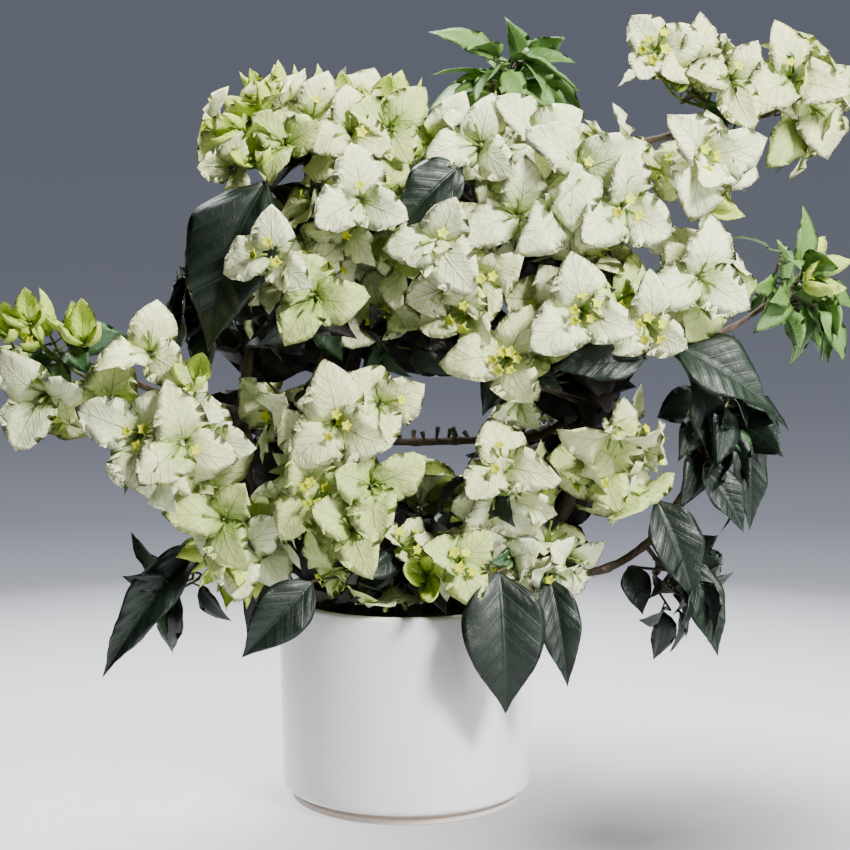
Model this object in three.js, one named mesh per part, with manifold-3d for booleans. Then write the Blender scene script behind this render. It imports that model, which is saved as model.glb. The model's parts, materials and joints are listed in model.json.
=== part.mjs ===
// A bougainvillea trained as a ring in a white glazed pot.
// Millimetres, +Z up, the origin at the centre of the pot's flat underside, the front of the plant towards -Y.
import * as THREE from "three";
import { mergeVertices } from "three/addons/utils/BufferGeometryUtils.js";
import Module from "manifold-3d";

const wasm = await Module();
wasm.setup();

// ---- Driving dimensions ----

const POT = { height: 119, rimRadius: 73, footRadius: 71, wall: 5, floor: 9, segments: 32 };
const FOOT = { ringRadius: 66, grooveRadius: 64, ringHeight: 3.5, grooveTop: 6, bevel: 3.5 };
const SOIL = { top: 104, clearance: 0.3, dome: 2 };
const RING = { x: 5, z: 225, halfWidth: 98, halfHeight: 122 }; // the hoop that the two main boughs follow
const TRUNK = { radius: 6.5, flare: 4, forkZ: 136, sides: 8 };
const BOUGH_SIDES = 6;
const LIMB_STEP = 20; // the length of one straight stretch of a limb
const CLEAR = 0.35; // between pieces that meet
// A mass's stem runs this share of the way from its limb to the mass's middle.
const STEM = { radius: 2.2, sides: 5, points: 60, share: 0.7 };
const TWIG = { radius: 1.3, knee: 9, leastTurn: 0.12 }; // leastTurn: the cosine of its sharpest bend
const HEART = { above: 2.6, below: 2.6, notch: 5 }; // where the blades of a star meet, at full size
// Bracts and leaves open by so many degrees from the way their twig points, a little unevenly. Their edges
// lift and their tips hang.
const BRACT = { length: 39, width: 35, widest: 0.42, smallest: 0.85, thick: 1, open: 62, uneven: 14, lift: 4 };
const YOUNG = { size: 0.66, width: 25, open: 36, lift: 0.6 }; // the bracts of a young blossom, still cupped
const LEAF = {
  length: 58,
  width: 30,
  widest: 0.4,
  smallest: 0.6,
  thick: 1.2,
  open: 74,
  uneven: 30,
  lift: 3,
  hang: 0.4,
};
const LONG_LEAF = { root: 1.2, lift: 0.12, arch: 0.04, stations: [[0.3, 1], [0.66, 0.8]] };
const HEART_INSET = 20; // from a mass's outline in to the hearts of its stars
const SPILL = 16; // a blade may pass the outline of its mass by this much
const BORDER_SPILL = 20; // and the border to the next mass by this much, where it touches nothing
const END_SPREAD = -0.35; // cosine of how far round a mass its stars are spread
const EVEN_SPREAD = [0.7548776662, 0.569840291]; // steps that fill a square evenly, however many are taken
const PLACES_TRIED = 10; // for each star that a mass should have
const FLOWERING_PLACES = 0.7; // the share of those places that may go to blossoms

// The turns and sizes that a blossom or leaf tries, one after the other.
const TRIES = [1, 0.85, 0.7].flatMap((size) => [0, 0.7, 1.4].map((turn) => [turn, size]));

const COLOURS = {
  glaze: 0xf2f1ee,
  soil: 0x2d221b,
  bark: 0x3d3128,
  cream: 0xeef0df,
  young: 0xc9dc8b,
  leaf: 0x1c3a20,
};

// A point on the hoop, at an angle from the right-hand side, with y to the back.
function ringPoint(degrees, y) {
  const a = THREE.MathUtils.degToRad(degrees);
  return [RING.x + RING.halfWidth * Math.cos(a), y, RING.z + RING.halfHeight * Math.sin(a)];
}

const FORK = [0, 2, TRUNK.forkZ];

// Each limb: its points from root to tip, its radius at each end.
const LIMBS = {
  trunk: {
    points: [[0, 0, SOIL.top + CLEAR], [0, 0, SOIL.top + 8], [-2, 1, 122], FORK],
    root: TRUNK.radius,
    tip: 5,
  },
  left_bough_lower: {
    points: [FORK, ringPoint(238, 0), ringPoint(208, -3), ringPoint(180, -5)],
    root: 4.6,
    tip: 3.4,
  },
  left_bough_upper: {
    points: [ringPoint(180, -5), ringPoint(150, -3), ringPoint(122, 0), ringPoint(98, 4)],
    root: 3.3,
    tip: 2.2,
  },
  right_bough_lower: {
    points: [FORK, ringPoint(305, 4), ringPoint(332, 4), ringPoint(0, 0)],
    root: 4.6,
    tip: 3.6,
  },
  right_bough_upper: {
    points: [ringPoint(0, 0), ringPoint(28, -2), ringPoint(52, -4), ringPoint(76, -6)],
    root: 3.4,
    tip: 2.4,
  },
  cross_bough: {
    points: [ringPoint(0, 0), [74, -2, 208], [30, 0, 205], [-10, 2, 204], [-48, 0, 207]],
    root: 2.4,
    tip: 1.8,
  },
  outer_left_stem: {
    points: [ringPoint(222, -3), [-106, -8, 168], [-117, -9, 215], [-108, -8, 265]],
    root: 2.3,
    tip: 1.7,
  },
  top_right_limb: {
    points: [ringPoint(60, -5), [92, -14, 366], [130, -18, 374], [172, -22, 384], [198, -20, 389]],
    root: 2.6,
    tip: 1.5,
  },
  left_limb: {
    points: [ringPoint(181, -5), [-128, -20, 232], [-160, -26, 246], [-186, -26, 256]],
    root: 2.6,
    tip: 1.6,
  },
  right_limb: {
    points: [ringPoint(10, -1), [140, -6, 258], [178, -6, 268], [204, -4, 284]],
    root: 2.4,
    tip: 1.5,
  },
  lower_right_limb: {
    points: [ringPoint(318, 4), [104, -26, 135], [134, -32, 152], [156, -32, 184]],
    root: 2.8,
    tip: 1.8,
  },
  lower_left_limb: {
    points: [ringPoint(232, -2), [-96, -20, 142], [-112, -28, 152]],
    root: 2.2,
    tip: 1.7,
  },
  crown_shoot: { points: [ringPoint(70, -5), [54, 4, 368], [55, 8, 396]], root: 2, tip: 1.5 },
};

// Each mass: the limb that carries it, its centre, how far it reaches either side of that, the blossoms and
// the leafy ends that it should have, and the share of the blossoms that are young.
const MASSES = {
  top_left_dome: ["left_bough_upper", [-46, -18, 379], [70, 44, 38], 13, 2, 0.6],
  upper_left: ["left_bough_upper", [-60, -48, 298], [42, 38, 40], 7, 2, 0],
  upper_left_top: ["left_bough_upper", [-26, -50, 340], [38, 36, 32], 6, 1, 0],
  upper_middle: ["right_bough_upper", [20, -54, 312], [38, 36, 36], 6, 1, 0.1],
  top_middle: ["right_bough_upper", [34, -28, 368], [46, 38, 34], 8, 1, 0.15],
  top_right: ["top_right_limb", [92, -44, 350], [46, 38, 40], 8, 2, 0],
  right_of_top: ["top_right_limb", [150, -36, 354], [36, 34, 36], 6, 1, 0.2],
  top_right_tip: ["top_right_limb", [160, -20, 408], [44, 32, 30], 8, 1, 0.1],
  top_right_end: ["top_right_limb", [214, -14, 397], [36, 32, 38], 7, 1, 0.3],
  right_middle: ["right_bough_upper", [98, -54, 288], [42, 36, 34], 7, 1, 0],
  right_edge: ["right_limb", [156, -34, 298], [36, 34, 32], 6, 1, 0],
  middle_right: ["right_bough_lower", [58, -44, 248], [34, 32, 38], 5, 1, 0],
  inner_top: ["left_bough_upper", [-6, -26, 274], [46, 32, 34], 4, 3, 0],
  middle_left: ["left_bough_lower", [-44, -52, 226], [42, 38, 36], 7, 1, 0],
  lower_left: ["left_bough_lower", [-44, -50, 176], [40, 36, 32], 5, 1, 0],
  left_shoot: ["left_limb", [-122, -46, 206], [42, 36, 42], 8, 1, 0.1],
  left_shoot_tip: ["left_limb", [-188, -32, 250], [44, 30, 42], 9, 1, 0.6],
  left_side_leaves: ["left_bough_upper", [-104, -30, 292], [36, 36, 46], 0, 4, 0],
  bottom_left: ["left_bough_lower", [-90, -44, 154], [36, 34, 34], 5, 2, 0.4],
  bottom_middle: ["left_bough_lower", [-8, -58, 146], [50, 36, 36], 7, 2, 0.4],
  middle_lower_right: ["right_bough_lower", [46, -50, 190], [38, 36, 34], 6, 1, 0],
  bottom_right: ["right_bough_lower", [72, -48, 148], [36, 34, 30], 3, 3, 0],
  lower_right: ["right_bough_lower", [114, -54, 202], [34, 34, 34], 5, 1, 0],
  right_leaves: ["lower_right_limb", [172, -22, 214], [36, 34, 56], 0, 6, 0],
  right_shoot: ["right_limb", [216, 0, 290], [38, 28, 42], 1, 5, 1],
  lower_right_leaves: ["lower_right_limb", [148, -30, 132], [36, 30, 46], 0, 4, 0],
  bottom_left_leaves: ["lower_left_limb", [-124, -34, 128], [40, 30, 40], 0, 3, 0],
  crown_shoot_leaves: ["crown_shoot", [56, 6, 410], [44, 30, 34], 0, 5, 0],
  back_left: ["left_bough_lower", [-74, 46, 186], [48, 40, 50], 4, 3, 0.1],
  back_left_top: ["left_bough_upper", [-66, 42, 300], [48, 40, 50], 4, 3, 0.1],
  back_top: ["right_bough_upper", [24, 40, 352], [50, 40, 38], 4, 2, 0.2],
  back_right_top: ["right_bough_upper", [92, 42, 312], [46, 40, 46], 4, 3, 0.1],
  back_right: ["right_bough_lower", [94, 46, 206], [46, 40, 48], 4, 3, 0.1],
  back_bottom: ["right_bough_lower", [14, 52, 148], [56, 34, 32], 4, 3, 0.2],
};

// The longest leaves, each with its mass, its base, its tip and its width.
const LONG_LEAVES = [
  ["left_side_leaves", [-76, -62, 354], [-113, -76, 268], 50],
  ["left_side_leaves", [-122, -44, 284], [-134, -52, 248], 20],
  ["upper_middle", [30, -70, 364], [-6, -84, 332], 30],
  ["right_middle", [128, -78, 262], [78, -86, 258], 25],
  ["right_edge", [146, -56, 266], [198, -62, 236], 36],
  ["right_leaves", [160, -34, 242], [170, -46, 200], 22],
  ["right_leaves", [184, -22, 218], [196, -32, 160], 22],
  ["right_leaves", [164, -38, 196], [188, -50, 164], 22],
  ["right_leaves", [182, -12, 234], [198, -16, 200], 16],
  ["lower_right_leaves", [137, -46, 180], [159, -58, 124], 30],
  ["lower_right_leaves", [156, -30, 144], [176, -40, 90], 24],
  ["lower_right_leaves", [124, -34, 140], [132, -42, 114], 18],
  ["bottom_right", [50, -76, 146], [54, -92, 70], 46],
  ["bottom_right", [78, -62, 140], [88, -78, 82], 24],
  ["bottom_left_leaves", [-112, -32, 154], [-173, -45, 80], 34],
  ["bottom_middle", [-50, -74, 140], [-88, -86, 100], 30],
  ["left_shoot_tip", [-190, -28, 240], [-210, -38, 222], 18],
  ["right_shoot", [230, -8, 280], [246, -14, 252], 16],
  ["crown_shoot_leaves", [50, 8, 418], [16, 0, 438], 17],
  ["crown_shoot_leaves", [62, 8, 418], [94, 2, 420], 15],
  ["crown_shoot_leaves", [62, -6, 404], [86, -14, 392], 17],
];

// ---- Random numbers, each from its own seed ----

function randomStream(seed) {
  let state = seed >>> 0;
  return () => {
    state = (state + 0x6d2b79f5) >>> 0;
    let t = state;
    t = Math.imul(t ^ (t >>> 15), t | 1);
    t ^= t + Math.imul(t ^ (t >>> 7), t | 61);
    return ((t ^ (t >>> 14)) >>> 0) / 4294967296;
  };
}

const vector = ([x, y, z]) => new THREE.Vector3(x, y, z);
const LEAST_REACH = vector([6, 6, 6]);
const UP = new THREE.Vector3(0, 0, 1);

// Two directions square to a given one.
function squareTo(direction) {
  const aid = Math.abs(direction.z) < 0.9 ? UP : new THREE.Vector3(1, 0, 0);
  const u = new THREE.Vector3().crossVectors(aid, direction).normalize();
  return [u, new THREE.Vector3().crossVectors(direction, u)];
}

function solid(geometry) {
  const bare = geometry.index ? geometry.toNonIndexed() : geometry.clone();
  bare.deleteAttribute("normal");
  bare.deleteAttribute("uv");
  const merged = mergeVertices(bare, 1e-4);
  return new wasm.Manifold(
    new wasm.Mesh({
      numProp: 3,
      vertProperties: merged.attributes.position.array,
      triVerts: new Uint32Array(merged.index.array),
    }),
  );
}

function geometryOf(body) {
  const mesh = body.getMesh();
  return new THREE.BufferGeometry()
    .setAttribute("position", new THREE.BufferAttribute(mesh.vertProperties, 3))
    .setIndex(new THREE.BufferAttribute(mesh.triVerts, 1));
}

function indexed(points, faces) {
  const positions = new Float32Array(points.flatMap((p) => [p.x, p.y, p.z]));
  return new THREE.BufferGeometry()
    .setAttribute("position", new THREE.BufferAttribute(positions, 3))
    .setIndex(faces.flat());
}

// ---- Shapes ----

// A closed body whose sides run through rings of equally many points, flat at both ends.
function ringBody(rings) {
  const sides = rings[0].length;
  const faces = [];
  for (let i = 0; i < rings.length - 1; i++)
    for (let j = 0; j < sides; j++) {
      const [a, b] = [i * sides + j, i * sides + ((j + 1) % sides)];
      faces.push([a, b, b + sides], [a, b + sides, a + sides]);
    }
  const end = (rings.length - 1) * sides;
  for (let j = 1; j < sides - 1; j++) faces.push([0, j + 1, j], [end, end + j, end + j + 1]);
  return indexed(rings.flat(), faces);
}

function ringRound(centre, u, v, radius, sides, turn = 0) {
  return Array.from({ length: sides }, (_, j) => {
    const a = turn + (2 * Math.PI * j) / sides;
    return centre
      .clone()
      .addScaledVector(u, radius * Math.cos(a))
      .addScaledVector(v, radius * Math.sin(a));
  });
}

// A tube of flat sides along a curve, with its radius given by a function of 0 to 1. It may run on beyond
// both ends of the curve.
function taperedTube(curve, radiusAt, sides, steps, beyond = 0) {
  const { tangents, normals, binormals } = curve.computeFrenetFrames(steps, false);
  const rings = normals.map((normal, i) => {
    const centre = curve.getPointAt(i / steps);
    if (i === 0) centre.addScaledVector(tangents[i], -beyond);
    if (i === steps) centre.addScaledVector(tangents[i], beyond);
    return ringRound(centre, normal, binormals[i], radiusAt(i / steps), sides);
  });
  return ringBody(rings);
}

function straightTube(from, to, radius, sides) {
  return taperedTube(new THREE.LineCurve3(from, to), () => radius, sides, 1);
}

// A long leaf: a thin creased blade with two stations across it between its root and its tip.
function longLeafGeometry({ base, along, face, length, width }, grow) {
  const side = new THREE.Vector3().crossVectors(face, along);
  const flat = Math.max(LEAF.thick, length / 50) / 2 + grow;
  const ring = ([t, share]) => {
    const middle = base.clone().addScaledVector(along, length * t);
    middle.addScaledVector(face, -LONG_LEAF.arch * length * t * t);
    const half = (width / 2) * share + grow;
    const lift = LONG_LEAF.lift * width * share;
    return [
      middle.clone().addScaledVector(side, -half).addScaledVector(face, lift),
      middle.clone().addScaledVector(face, flat),
      middle.clone().addScaledVector(side, half).addScaledVector(face, lift),
      middle.clone().addScaledVector(face, -flat),
    ];
  };
  const tip = base
    .clone()
    .addScaledVector(along, length + grow)
    .addScaledVector(face, -LONG_LEAF.arch * length);
  const points = [base, ...LONG_LEAF.stations.flatMap(ring), tip];
  const last = points.length - 1;
  const faces = [];
  for (let j = 0; j < 4; j++) {
    const next = (j + 1) % 4;
    faces.push([0, 1 + j, 1 + next], [last - 4 + j, last, last - 4 + next]);
    for (let i = 0; i < LONG_LEAF.stations.length - 1; i++) {
      const [a, b] = [1 + 4 * i + j, 1 + 4 * i + next];
      faces.push([a, a + 4, b + 4], [a, b + 4, b]);
    }
  }
  return indexed(points, faces);
}

// How one blade of a star lies: its direction, its upper side, the way across it, and its tip.
function bladeFrame(star, i) {
  const blade = star.blades[i];
  const [u, v] = squareTo(star.axis);
  const a = star.turn + (2 * Math.PI * i) / star.blades.length;
  const radial = u.multiplyScalar(Math.cos(a)).addScaledVector(v, Math.sin(a));
  const along = star.axis
    .clone()
    .multiplyScalar(Math.cos(blade.open))
    .addScaledVector(radial, Math.sin(blade.open))
    .addScaledVector(UP, -blade.hang)
    .normalize();
  const side = new THREE.Vector3().crossVectors(star.axis, along).normalize();
  const face = new THREE.Vector3().crossVectors(along, side);
  return { along, side, face, tip: star.end.clone().addScaledVector(along, blade.length * star.size) };
}

// The rings of a star's twig: it leaves its stem, bends at a knee, and comes up to the star along its axis.
function twigRings({ from, end, axis, turn, size }, grow) {
  const [u, v] = squareTo(axis);
  const knee = end.clone().addScaledVector(axis, -TWIG.knee);
  const bend = new THREE.Quaternion().setFromUnitVectors(axis, knee.clone().sub(from).normalize());
  const [bentU, bentV] = [u.clone().applyQuaternion(bend), v.clone().applyQuaternion(bend)];
  const radius = TWIG.radius + grow;
  return [
    ringRound(from, bentU, bentV, radius, 3, turn),
    ringRound(knee, bentU, bentV, radius, 3, turn),
    ringRound(end.clone().addScaledVector(axis, -HEART.below * size), u, v, radius, 3, turn),
  ];
}

// A star of three blades on its twig, as one closed shell: a pointed blade each way, a notch between each
// two, a low heart above and the twig below. Without its twig it is closed by a point below instead.
function starGeometry(star, grow, withTwig) {
  const { end, axis, size } = star;
  const rings = withTwig ? twigRings(star, grow) : [];
  const below = end.clone().addScaledVector(axis, -HEART.below * size - grow);
  const points = [...rings.flat(), end.clone().addScaledVector(axis, HEART.above * size + grow)];
  if (!withTwig) points.push(below);
  const heart = rings.length * 3;
  const foot = (i) => (withTwig ? heart - 3 + (i % 3) : heart + 1);
  const first = points.length;
  for (let i = 0; i < 3; i++) {
    const blade = star.blades[i];
    const { along, side, face, tip } = bladeFrame(star, i);
    const notch = squareTo(axis);
    const a = star.turn + (2 * Math.PI * (i + 0.5)) / 3;
    const middle = end.clone().addScaledVector(along, blade.length * size * blade.widest);
    const half = (blade.width * size) / 2 + grow;
    points.push(
      middle.clone().addScaledVector(side, -half).addScaledVector(face, blade.lift * size),
      tip.addScaledVector(along, grow),
      middle.clone().addScaledVector(side, half).addScaledVector(face, blade.lift * size),
      end
        .clone()
        .addScaledVector(notch[0], (HEART.notch * size + grow) * Math.cos(a))
        .addScaledVector(notch[1], (HEART.notch * size + grow) * Math.sin(a)),
      middle.clone().addScaledVector(face, blade.thick / 2 + grow),
      middle.clone().addScaledVector(face, -blade.thick / 2 - grow),
    );
  }
  const faces = [];
  for (let i = 0; i < 3; i++) {
    const [own, before] = [first + 6 * i, first + 6 * ((i + 2) % 3)];
    const rim = [before + 3, own, own + 1, own + 2, own + 3];
    for (let j = 0; j < 4; j++) faces.push([rim[j], rim[j + 1], own + 4], [rim[j + 1], rim[j], own + 5]);
    faces.push([heart, rim[0], own + 4], [heart, own + 4, rim[4]]);
    faces.push([foot(i), own + 5, rim[0]], [foot(i), rim[4], own + 5]);
    if (withTwig) faces.push([foot(i), foot(i + 1), rim[4]]);
  }
  for (let i = 0; i < rings.length - 1; i++)
    for (let j = 0; j < 3; j++) {
      const [a, b] = [3 * i + j, 3 * i + ((j + 1) % 3)];
      faces.push([a, b, b + 3], [a, b + 3, a + 3]);
    }
  if (withTwig) faces.push([0, 2, 1]);
  return indexed(points, faces);
}

// ---- Pot and soil ----

function potSolid() {
  const { height, rimRadius, footRadius, wall, floor, segments } = POT;
  const { ringRadius, grooveRadius, ringHeight, grooveTop, bevel } = FOOT;
  const lip = wall * 0.45;
  const profile = [
    [0, 0],
    [ringRadius - 1, 0],
    [ringRadius, 1],
    [ringRadius, ringHeight],
    [grooveRadius, ringHeight],
    [grooveRadius, grooveTop],
    [footRadius - bevel, grooveTop],
    [footRadius - bevel * 0.3, grooveTop + bevel * 0.3],
    [footRadius, grooveTop + bevel],
    [rimRadius, height - lip],
    [rimRadius - lip * 0.3, height - lip * 0.3],
    [rimRadius - lip, height],
    [rimRadius - wall + lip * 0.3, height - lip * 0.3],
    [rimRadius - wall, height - lip],
    [footRadius - wall, floor + 3],
    [footRadius - wall - 3, floor],
    [0, floor],
  ];
  return new THREE.LatheGeometry(profile.map(([r, z]) => new THREE.Vector2(r, z)), segments).rotateX(
    Math.PI / 2,
  );
}

function soilSolid() {
  const { footRadius, rimRadius, wall, floor, height, segments } = POT;
  const wallAt = (z) => THREE.MathUtils.lerp(footRadius, rimRadius, z / height) - wall - 2 * SOIL.clearance;
  const profile = [
    [0, floor + SOIL.clearance],
    [footRadius - wall - 4, floor + SOIL.clearance],
    [wallAt(floor + 4), floor + 4],
    [wallAt(SOIL.top), SOIL.top - SOIL.dome],
    [40, SOIL.top],
    [0, SOIL.top],
  ];
  return new THREE.LatheGeometry(profile.map(([r, z]) => new THREE.Vector2(r, z)), segments).rotateX(
    Math.PI / 2,
  );
}

// ---- Limbs ----

const CURVES = {};
for (const [name, limb] of Object.entries(LIMBS))
  CURVES[name] = new THREE.CatmullRomCurve3(limb.points.map(vector), false, "centripetal");

function limbRadius(name, t) {
  const { root, tip } = LIMBS[name];
  const flare = name === "trunk" ? TRUNK.flare * Math.exp(-t * 5) : 0;
  return THREE.MathUtils.lerp(root, tip, t) + flare;
}

function limbSolid(name, grow = 0) {
  const curve = CURVES[name];
  const sides = name === "trunk" ? TRUNK.sides : BOUGH_SIDES;
  const steps = Math.max(4, Math.round(curve.getLength() / LIMB_STEP));
  return solid(taperedTube(curve, (t) => limbRadius(name, t) + grow, sides, steps, grow));
}

// The largest piece of a body, without loose scraps.
function wholeOf(body) {
  const pieces = body.decompose();
  return pieces.reduce((a, b) => (b.volume() > a.volume() ? b : a));
}

// Each limb is cut back from those before it, so that it meets them with a small gap.
const limbBodies = {};
const thickLimbs = [];
for (const name of Object.keys(LIMBS)) {
  let body = limbSolid(name);
  for (const thick of thickLimbs) body = body.subtract(thick);
  limbBodies[name] = wholeOf(body);
  thickLimbs.push(limbSolid(name, CLEAR + 0.05));
}
const thickUnion = wasm.Manifold.union(thickLimbs);
const standing = wasm.Manifold.union([...Object.values(limbBodies), solid(potSolid()), solid(soilSolid())]);

// ---- Masses ----

const heart = new THREE.Vector3(RING.x, 0, RING.z);
const OUTWARD = new THREE.Vector3(0.5, 1.3, 0.45); // how much each axis counts for the way a mass faces

const masses = Object.entries(MASSES).map(([name, row], index) => {
  const [limb, centre, reach, blossoms, leafy, young] = row;
  const middle = vector(centre);
  const facing = middle.clone().sub(heart).multiply(OUTWARD).normalize();
  const weight = (reach[0] + reach[1] + reach[2]) / 3;
  return { name, index, limb, middle, reach: vector(reach), blossoms, leafy, young, facing, weight };
});

// How far a point lies inside its mass's space: under 0 it is outside.
function roomAt(mass, point) {
  const d = point.clone().sub(mass.middle);
  const share = d.clone().divide(mass.reach).length();
  let room = ((1 - share) * d.length()) / Math.max(share, 0.01) + SPILL;
  for (const other of masses) {
    if (other === mass) continue;
    const apart = other.middle.distanceTo(mass.middle);
    const mine = d.lengthSq() - mass.weight ** 2;
    const theirs = point.distanceToSquared(other.middle) - other.weight ** 2;
    room = Math.min(room, (theirs - mine) / (2 * apart) + BORDER_SPILL);
  }
  return room;
}

const MOUTH = { x: 20, z: 213, halfWidth: 30, halfHeight: 26 }; // the view through the ring

// The open middle of the ring stays clear of leaves.
function inMouth(point) {
  const across = (point.x - MOUTH.x) / MOUTH.halfWidth;
  const up = (point.z - MOUTH.z) / MOUTH.halfHeight;
  return across * across + up * up < 1;
}

// ---- The growth rule ----
// A mass is grown as a list of stars on twigs, each from its own random numbers: three bracts round a heart,
// or three leaves. The twigs run from the mass's stem to points spread evenly round the way that the mass
// faces.

function bractBlade(young, random) {
  return {
    length: BRACT.length,
    width: young ? YOUNG.width : BRACT.width,
    lift: young ? YOUNG.lift : BRACT.lift,
    open: THREE.MathUtils.degToRad((young ? YOUNG.open : BRACT.open) + BRACT.uneven * (random() - 0.5)),
    widest: BRACT.widest,
    thick: BRACT.thick,
    hang: 0,
  };
}

function leafBlade(random) {
  const size = LEAF.smallest + (1 - LEAF.smallest) * random();
  return {
    length: LEAF.length * size,
    width: LEAF.width * size,
    lift: LEAF.lift * size,
    open: THREE.MathUtils.degToRad(LEAF.open + LEAF.uneven * (random() - 0.5)),
    widest: LEAF.widest,
    thick: LEAF.thick,
    hang: LEAF.hang * random(),
  };
}

// The k-th place that a mass tries for a star, with the star that would grow there.
function starAt(mass, k, flowering) {
  const random = randomStream(1000 * (mass.index + 1) + k);
  const [u, v] = squareTo(mass.facing);
  const c = 1 - ((0.5 + k * EVEN_SPREAD[0]) % 1) * (1 - END_SPREAD);
  const s = Math.sqrt(1 - c * c);
  const a = 2 * Math.PI * ((0.5 + k * EVEN_SPREAD[1]) % 1);
  const way = mass.facing
    .clone()
    .multiplyScalar(c)
    .addScaledVector(u, s * Math.cos(a))
    .addScaledVector(v, s * Math.sin(a));
  const inner = mass.reach.clone().subScalar(HEART_INSET).max(LEAST_REACH);
  const end = mass.middle.clone().addScaledVector(way.clone().multiply(inner), 0.7 + 0.4 * random());
  const from = mass.root.clone().lerp(mass.hub, 0.55 + 0.45 * random());
  const lean = vector([random() - 0.5, random() - 0.5, random() - 0.5]);
  const axis = way.clone().multiplyScalar(0.7).addScaledVector(mass.facing, 0.8);
  axis.addScaledVector(lean, 0.5).normalize();
  const young = random() < mass.young;
  const full = BRACT.smallest + (1 - BRACT.smallest) * random();
  const size = flowering ? (young ? YOUNG.size : full) : 1;
  const turn = 2 * Math.PI * random();
  const blades = [0, 1, 2].map(() => (flowering ? bractBlade(young, random) : leafBlade(random)));
  return { from, end, axis, turn, size, blades };
}

// ---- Which pieces are kept ----
// No two masses touch, none touches a limb, the pot or the soil, and in a mass the stars touch nothing but
// their own twigs. A star that would is turned a little, then made smaller, and left out if it still would.

const taken = [];

function boxesMeet(a, b) {
  return [0, 1, 2].every((k) => a.min[k] <= b.max[k] && b.min[k] <= a.max[k]);
}

// Whether a grown copy of a piece would touch what it may not: wood may meet the wood of its own mass.
function touches(mass, grown, wood) {
  if (!grown.intersect(standing).isEmpty()) return true;
  const box = grown.boundingBox();
  return taken.some(
    (piece) =>
      !(wood && piece.wood && piece.mass === mass) &&
      boxesMeet(piece.box, box) &&
      !grown.intersect(piece.body).isEmpty(),
  );
}

function take(mass, body, wood) {
  taken.push({ mass, body, wood, box: body.boundingBox() });
}

function leavesSpace(mass, point) {
  return roomAt(mass, point) < 0 || inMouth(point);
}

// A twig that would have to turn back at its knee bears no star.
function turnsBack({ from, end, axis }) {
  const stretch = end.clone().addScaledVector(axis, -TWIG.knee).sub(from);
  return stretch.normalize().dot(axis) < TWIG.leastTurn;
}

function keepStar(mass, grown) {
  if (turnsBack(grown)) return false;
  for (const [turn, shrink] of TRIES) {
    const star = { ...grown, turn: grown.turn + turn, size: grown.size * shrink };
    if ([0, 1, 2].some((i) => leavesSpace(mass, bladeFrame(star, i).tip))) continue;
    if (touches(mass, solid(ringBody(twigRings(star, CLEAR))), true)) continue;
    if (touches(mass, solid(starGeometry(star, CLEAR, false)), false)) continue;
    take(mass, solid(ringBody(twigRings(star, 0))), true);
    take(mass, solid(starGeometry(star, 0, false)), false);
    mass.pieces.push(solid(starGeometry(star, 0, true)));
    return true;
  }
  return false;
}

// Adds a mass's next star at the first place that will have one: its blossoms first, then its leaves.
function growOneStar(mass) {
  const places = PLACES_TRIED * (mass.blossoms + mass.leafy);
  while (mass.next < places) {
    const flowering = mass.flowers < mass.blossoms && mass.next < places * FLOWERING_PLACES;
    if (!flowering && mass.leaves >= mass.leafy) return;
    if (!keepStar(mass, starAt(mass, mass.next++, flowering))) continue;
    if (flowering) mass.flowers++;
    else mass.leaves++;
    return;
  }
}

// A long leaf hangs from its own twig, its upper side turned outward and up.
function keepLongLeaf(mass, [, baseAt, tipAt, width]) {
  const base = vector(baseAt);
  const along = vector(tipAt).sub(base);
  const length = along.length();
  along.normalize();
  const outward = mass.facing.clone().addScaledVector(UP, 0.8);
  const side = new THREE.Vector3().crossVectors(along, outward).normalize();
  const face = new THREE.Vector3().crossVectors(side, along);
  const root = base.clone().addScaledVector(along, -LONG_LEAF.root);
  const make = (grow) => longLeafGeometry({ base: root, along, face, length, width }, grow);
  const twig = (grow) => straightTube(mass.hub, base, TWIG.radius + grow, 3);
  if (touches(mass, solid(twig(CLEAR)), true) || touches(mass, solid(make(CLEAR)), false)) {
    console.warn("a long leaf is left out of " + mass.name + ", at " + baseAt);
    return;
  }
  for (const [shape, wood] of [
    [twig, true],
    [make, false],
  ]) {
    take(mass, solid(shape(0)), wood);
    mass.pieces.push(solid(shape(0)));
  }
}

// A mass's stem leaves its limb at the nearest point to its middle where it is clear of the stems before it.
function keepStem(mass) {
  const far = (point) => point.distanceTo(mass.middle);
  const points = CURVES[mass.limb].getSpacedPoints(STEM.points).slice(1);
  for (const root of points.sort((a, b) => far(a) - far(b))) {
    const hub = root.clone().lerp(mass.middle, STEM.share);
    const tube = (grow) => straightTube(root, hub, STEM.radius + grow, STEM.sides);
    const body = (grow) => wholeOf(solid(tube(grow)).subtract(thickUnion));
    if (touches(mass, body(CLEAR), true)) continue;
    Object.assign(mass, { root, hub, pieces: [body(0)], next: 0, flowers: 0, leaves: 0 });
    take(mass, mass.pieces[0], true);
    return;
  }
  throw new Error(mass.name + " has no clear place for its stem");
}

for (const mass of masses) keepStem(mass);
for (const row of LONG_LEAVES) keepLongLeaf(masses.find((mass) => mass.name === row[0]), row);
const rounds = Math.max(...masses.map((mass) => mass.blossoms + mass.leafy));
for (let k = 0; k < rounds; k++) for (const mass of masses) growOneStar(mass);

// ---- The plant ----

function material(colour, roughness) {
  return new THREE.MeshStandardMaterial({ color: colour, roughness, metalness: 0 });
}

const plant = new THREE.Group();

function addNode(name, geometry, colour, roughness) {
  const mesh = new THREE.Mesh(geometry, material(colour, roughness));
  mesh.name = name;
  plant.add(mesh);
}

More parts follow.
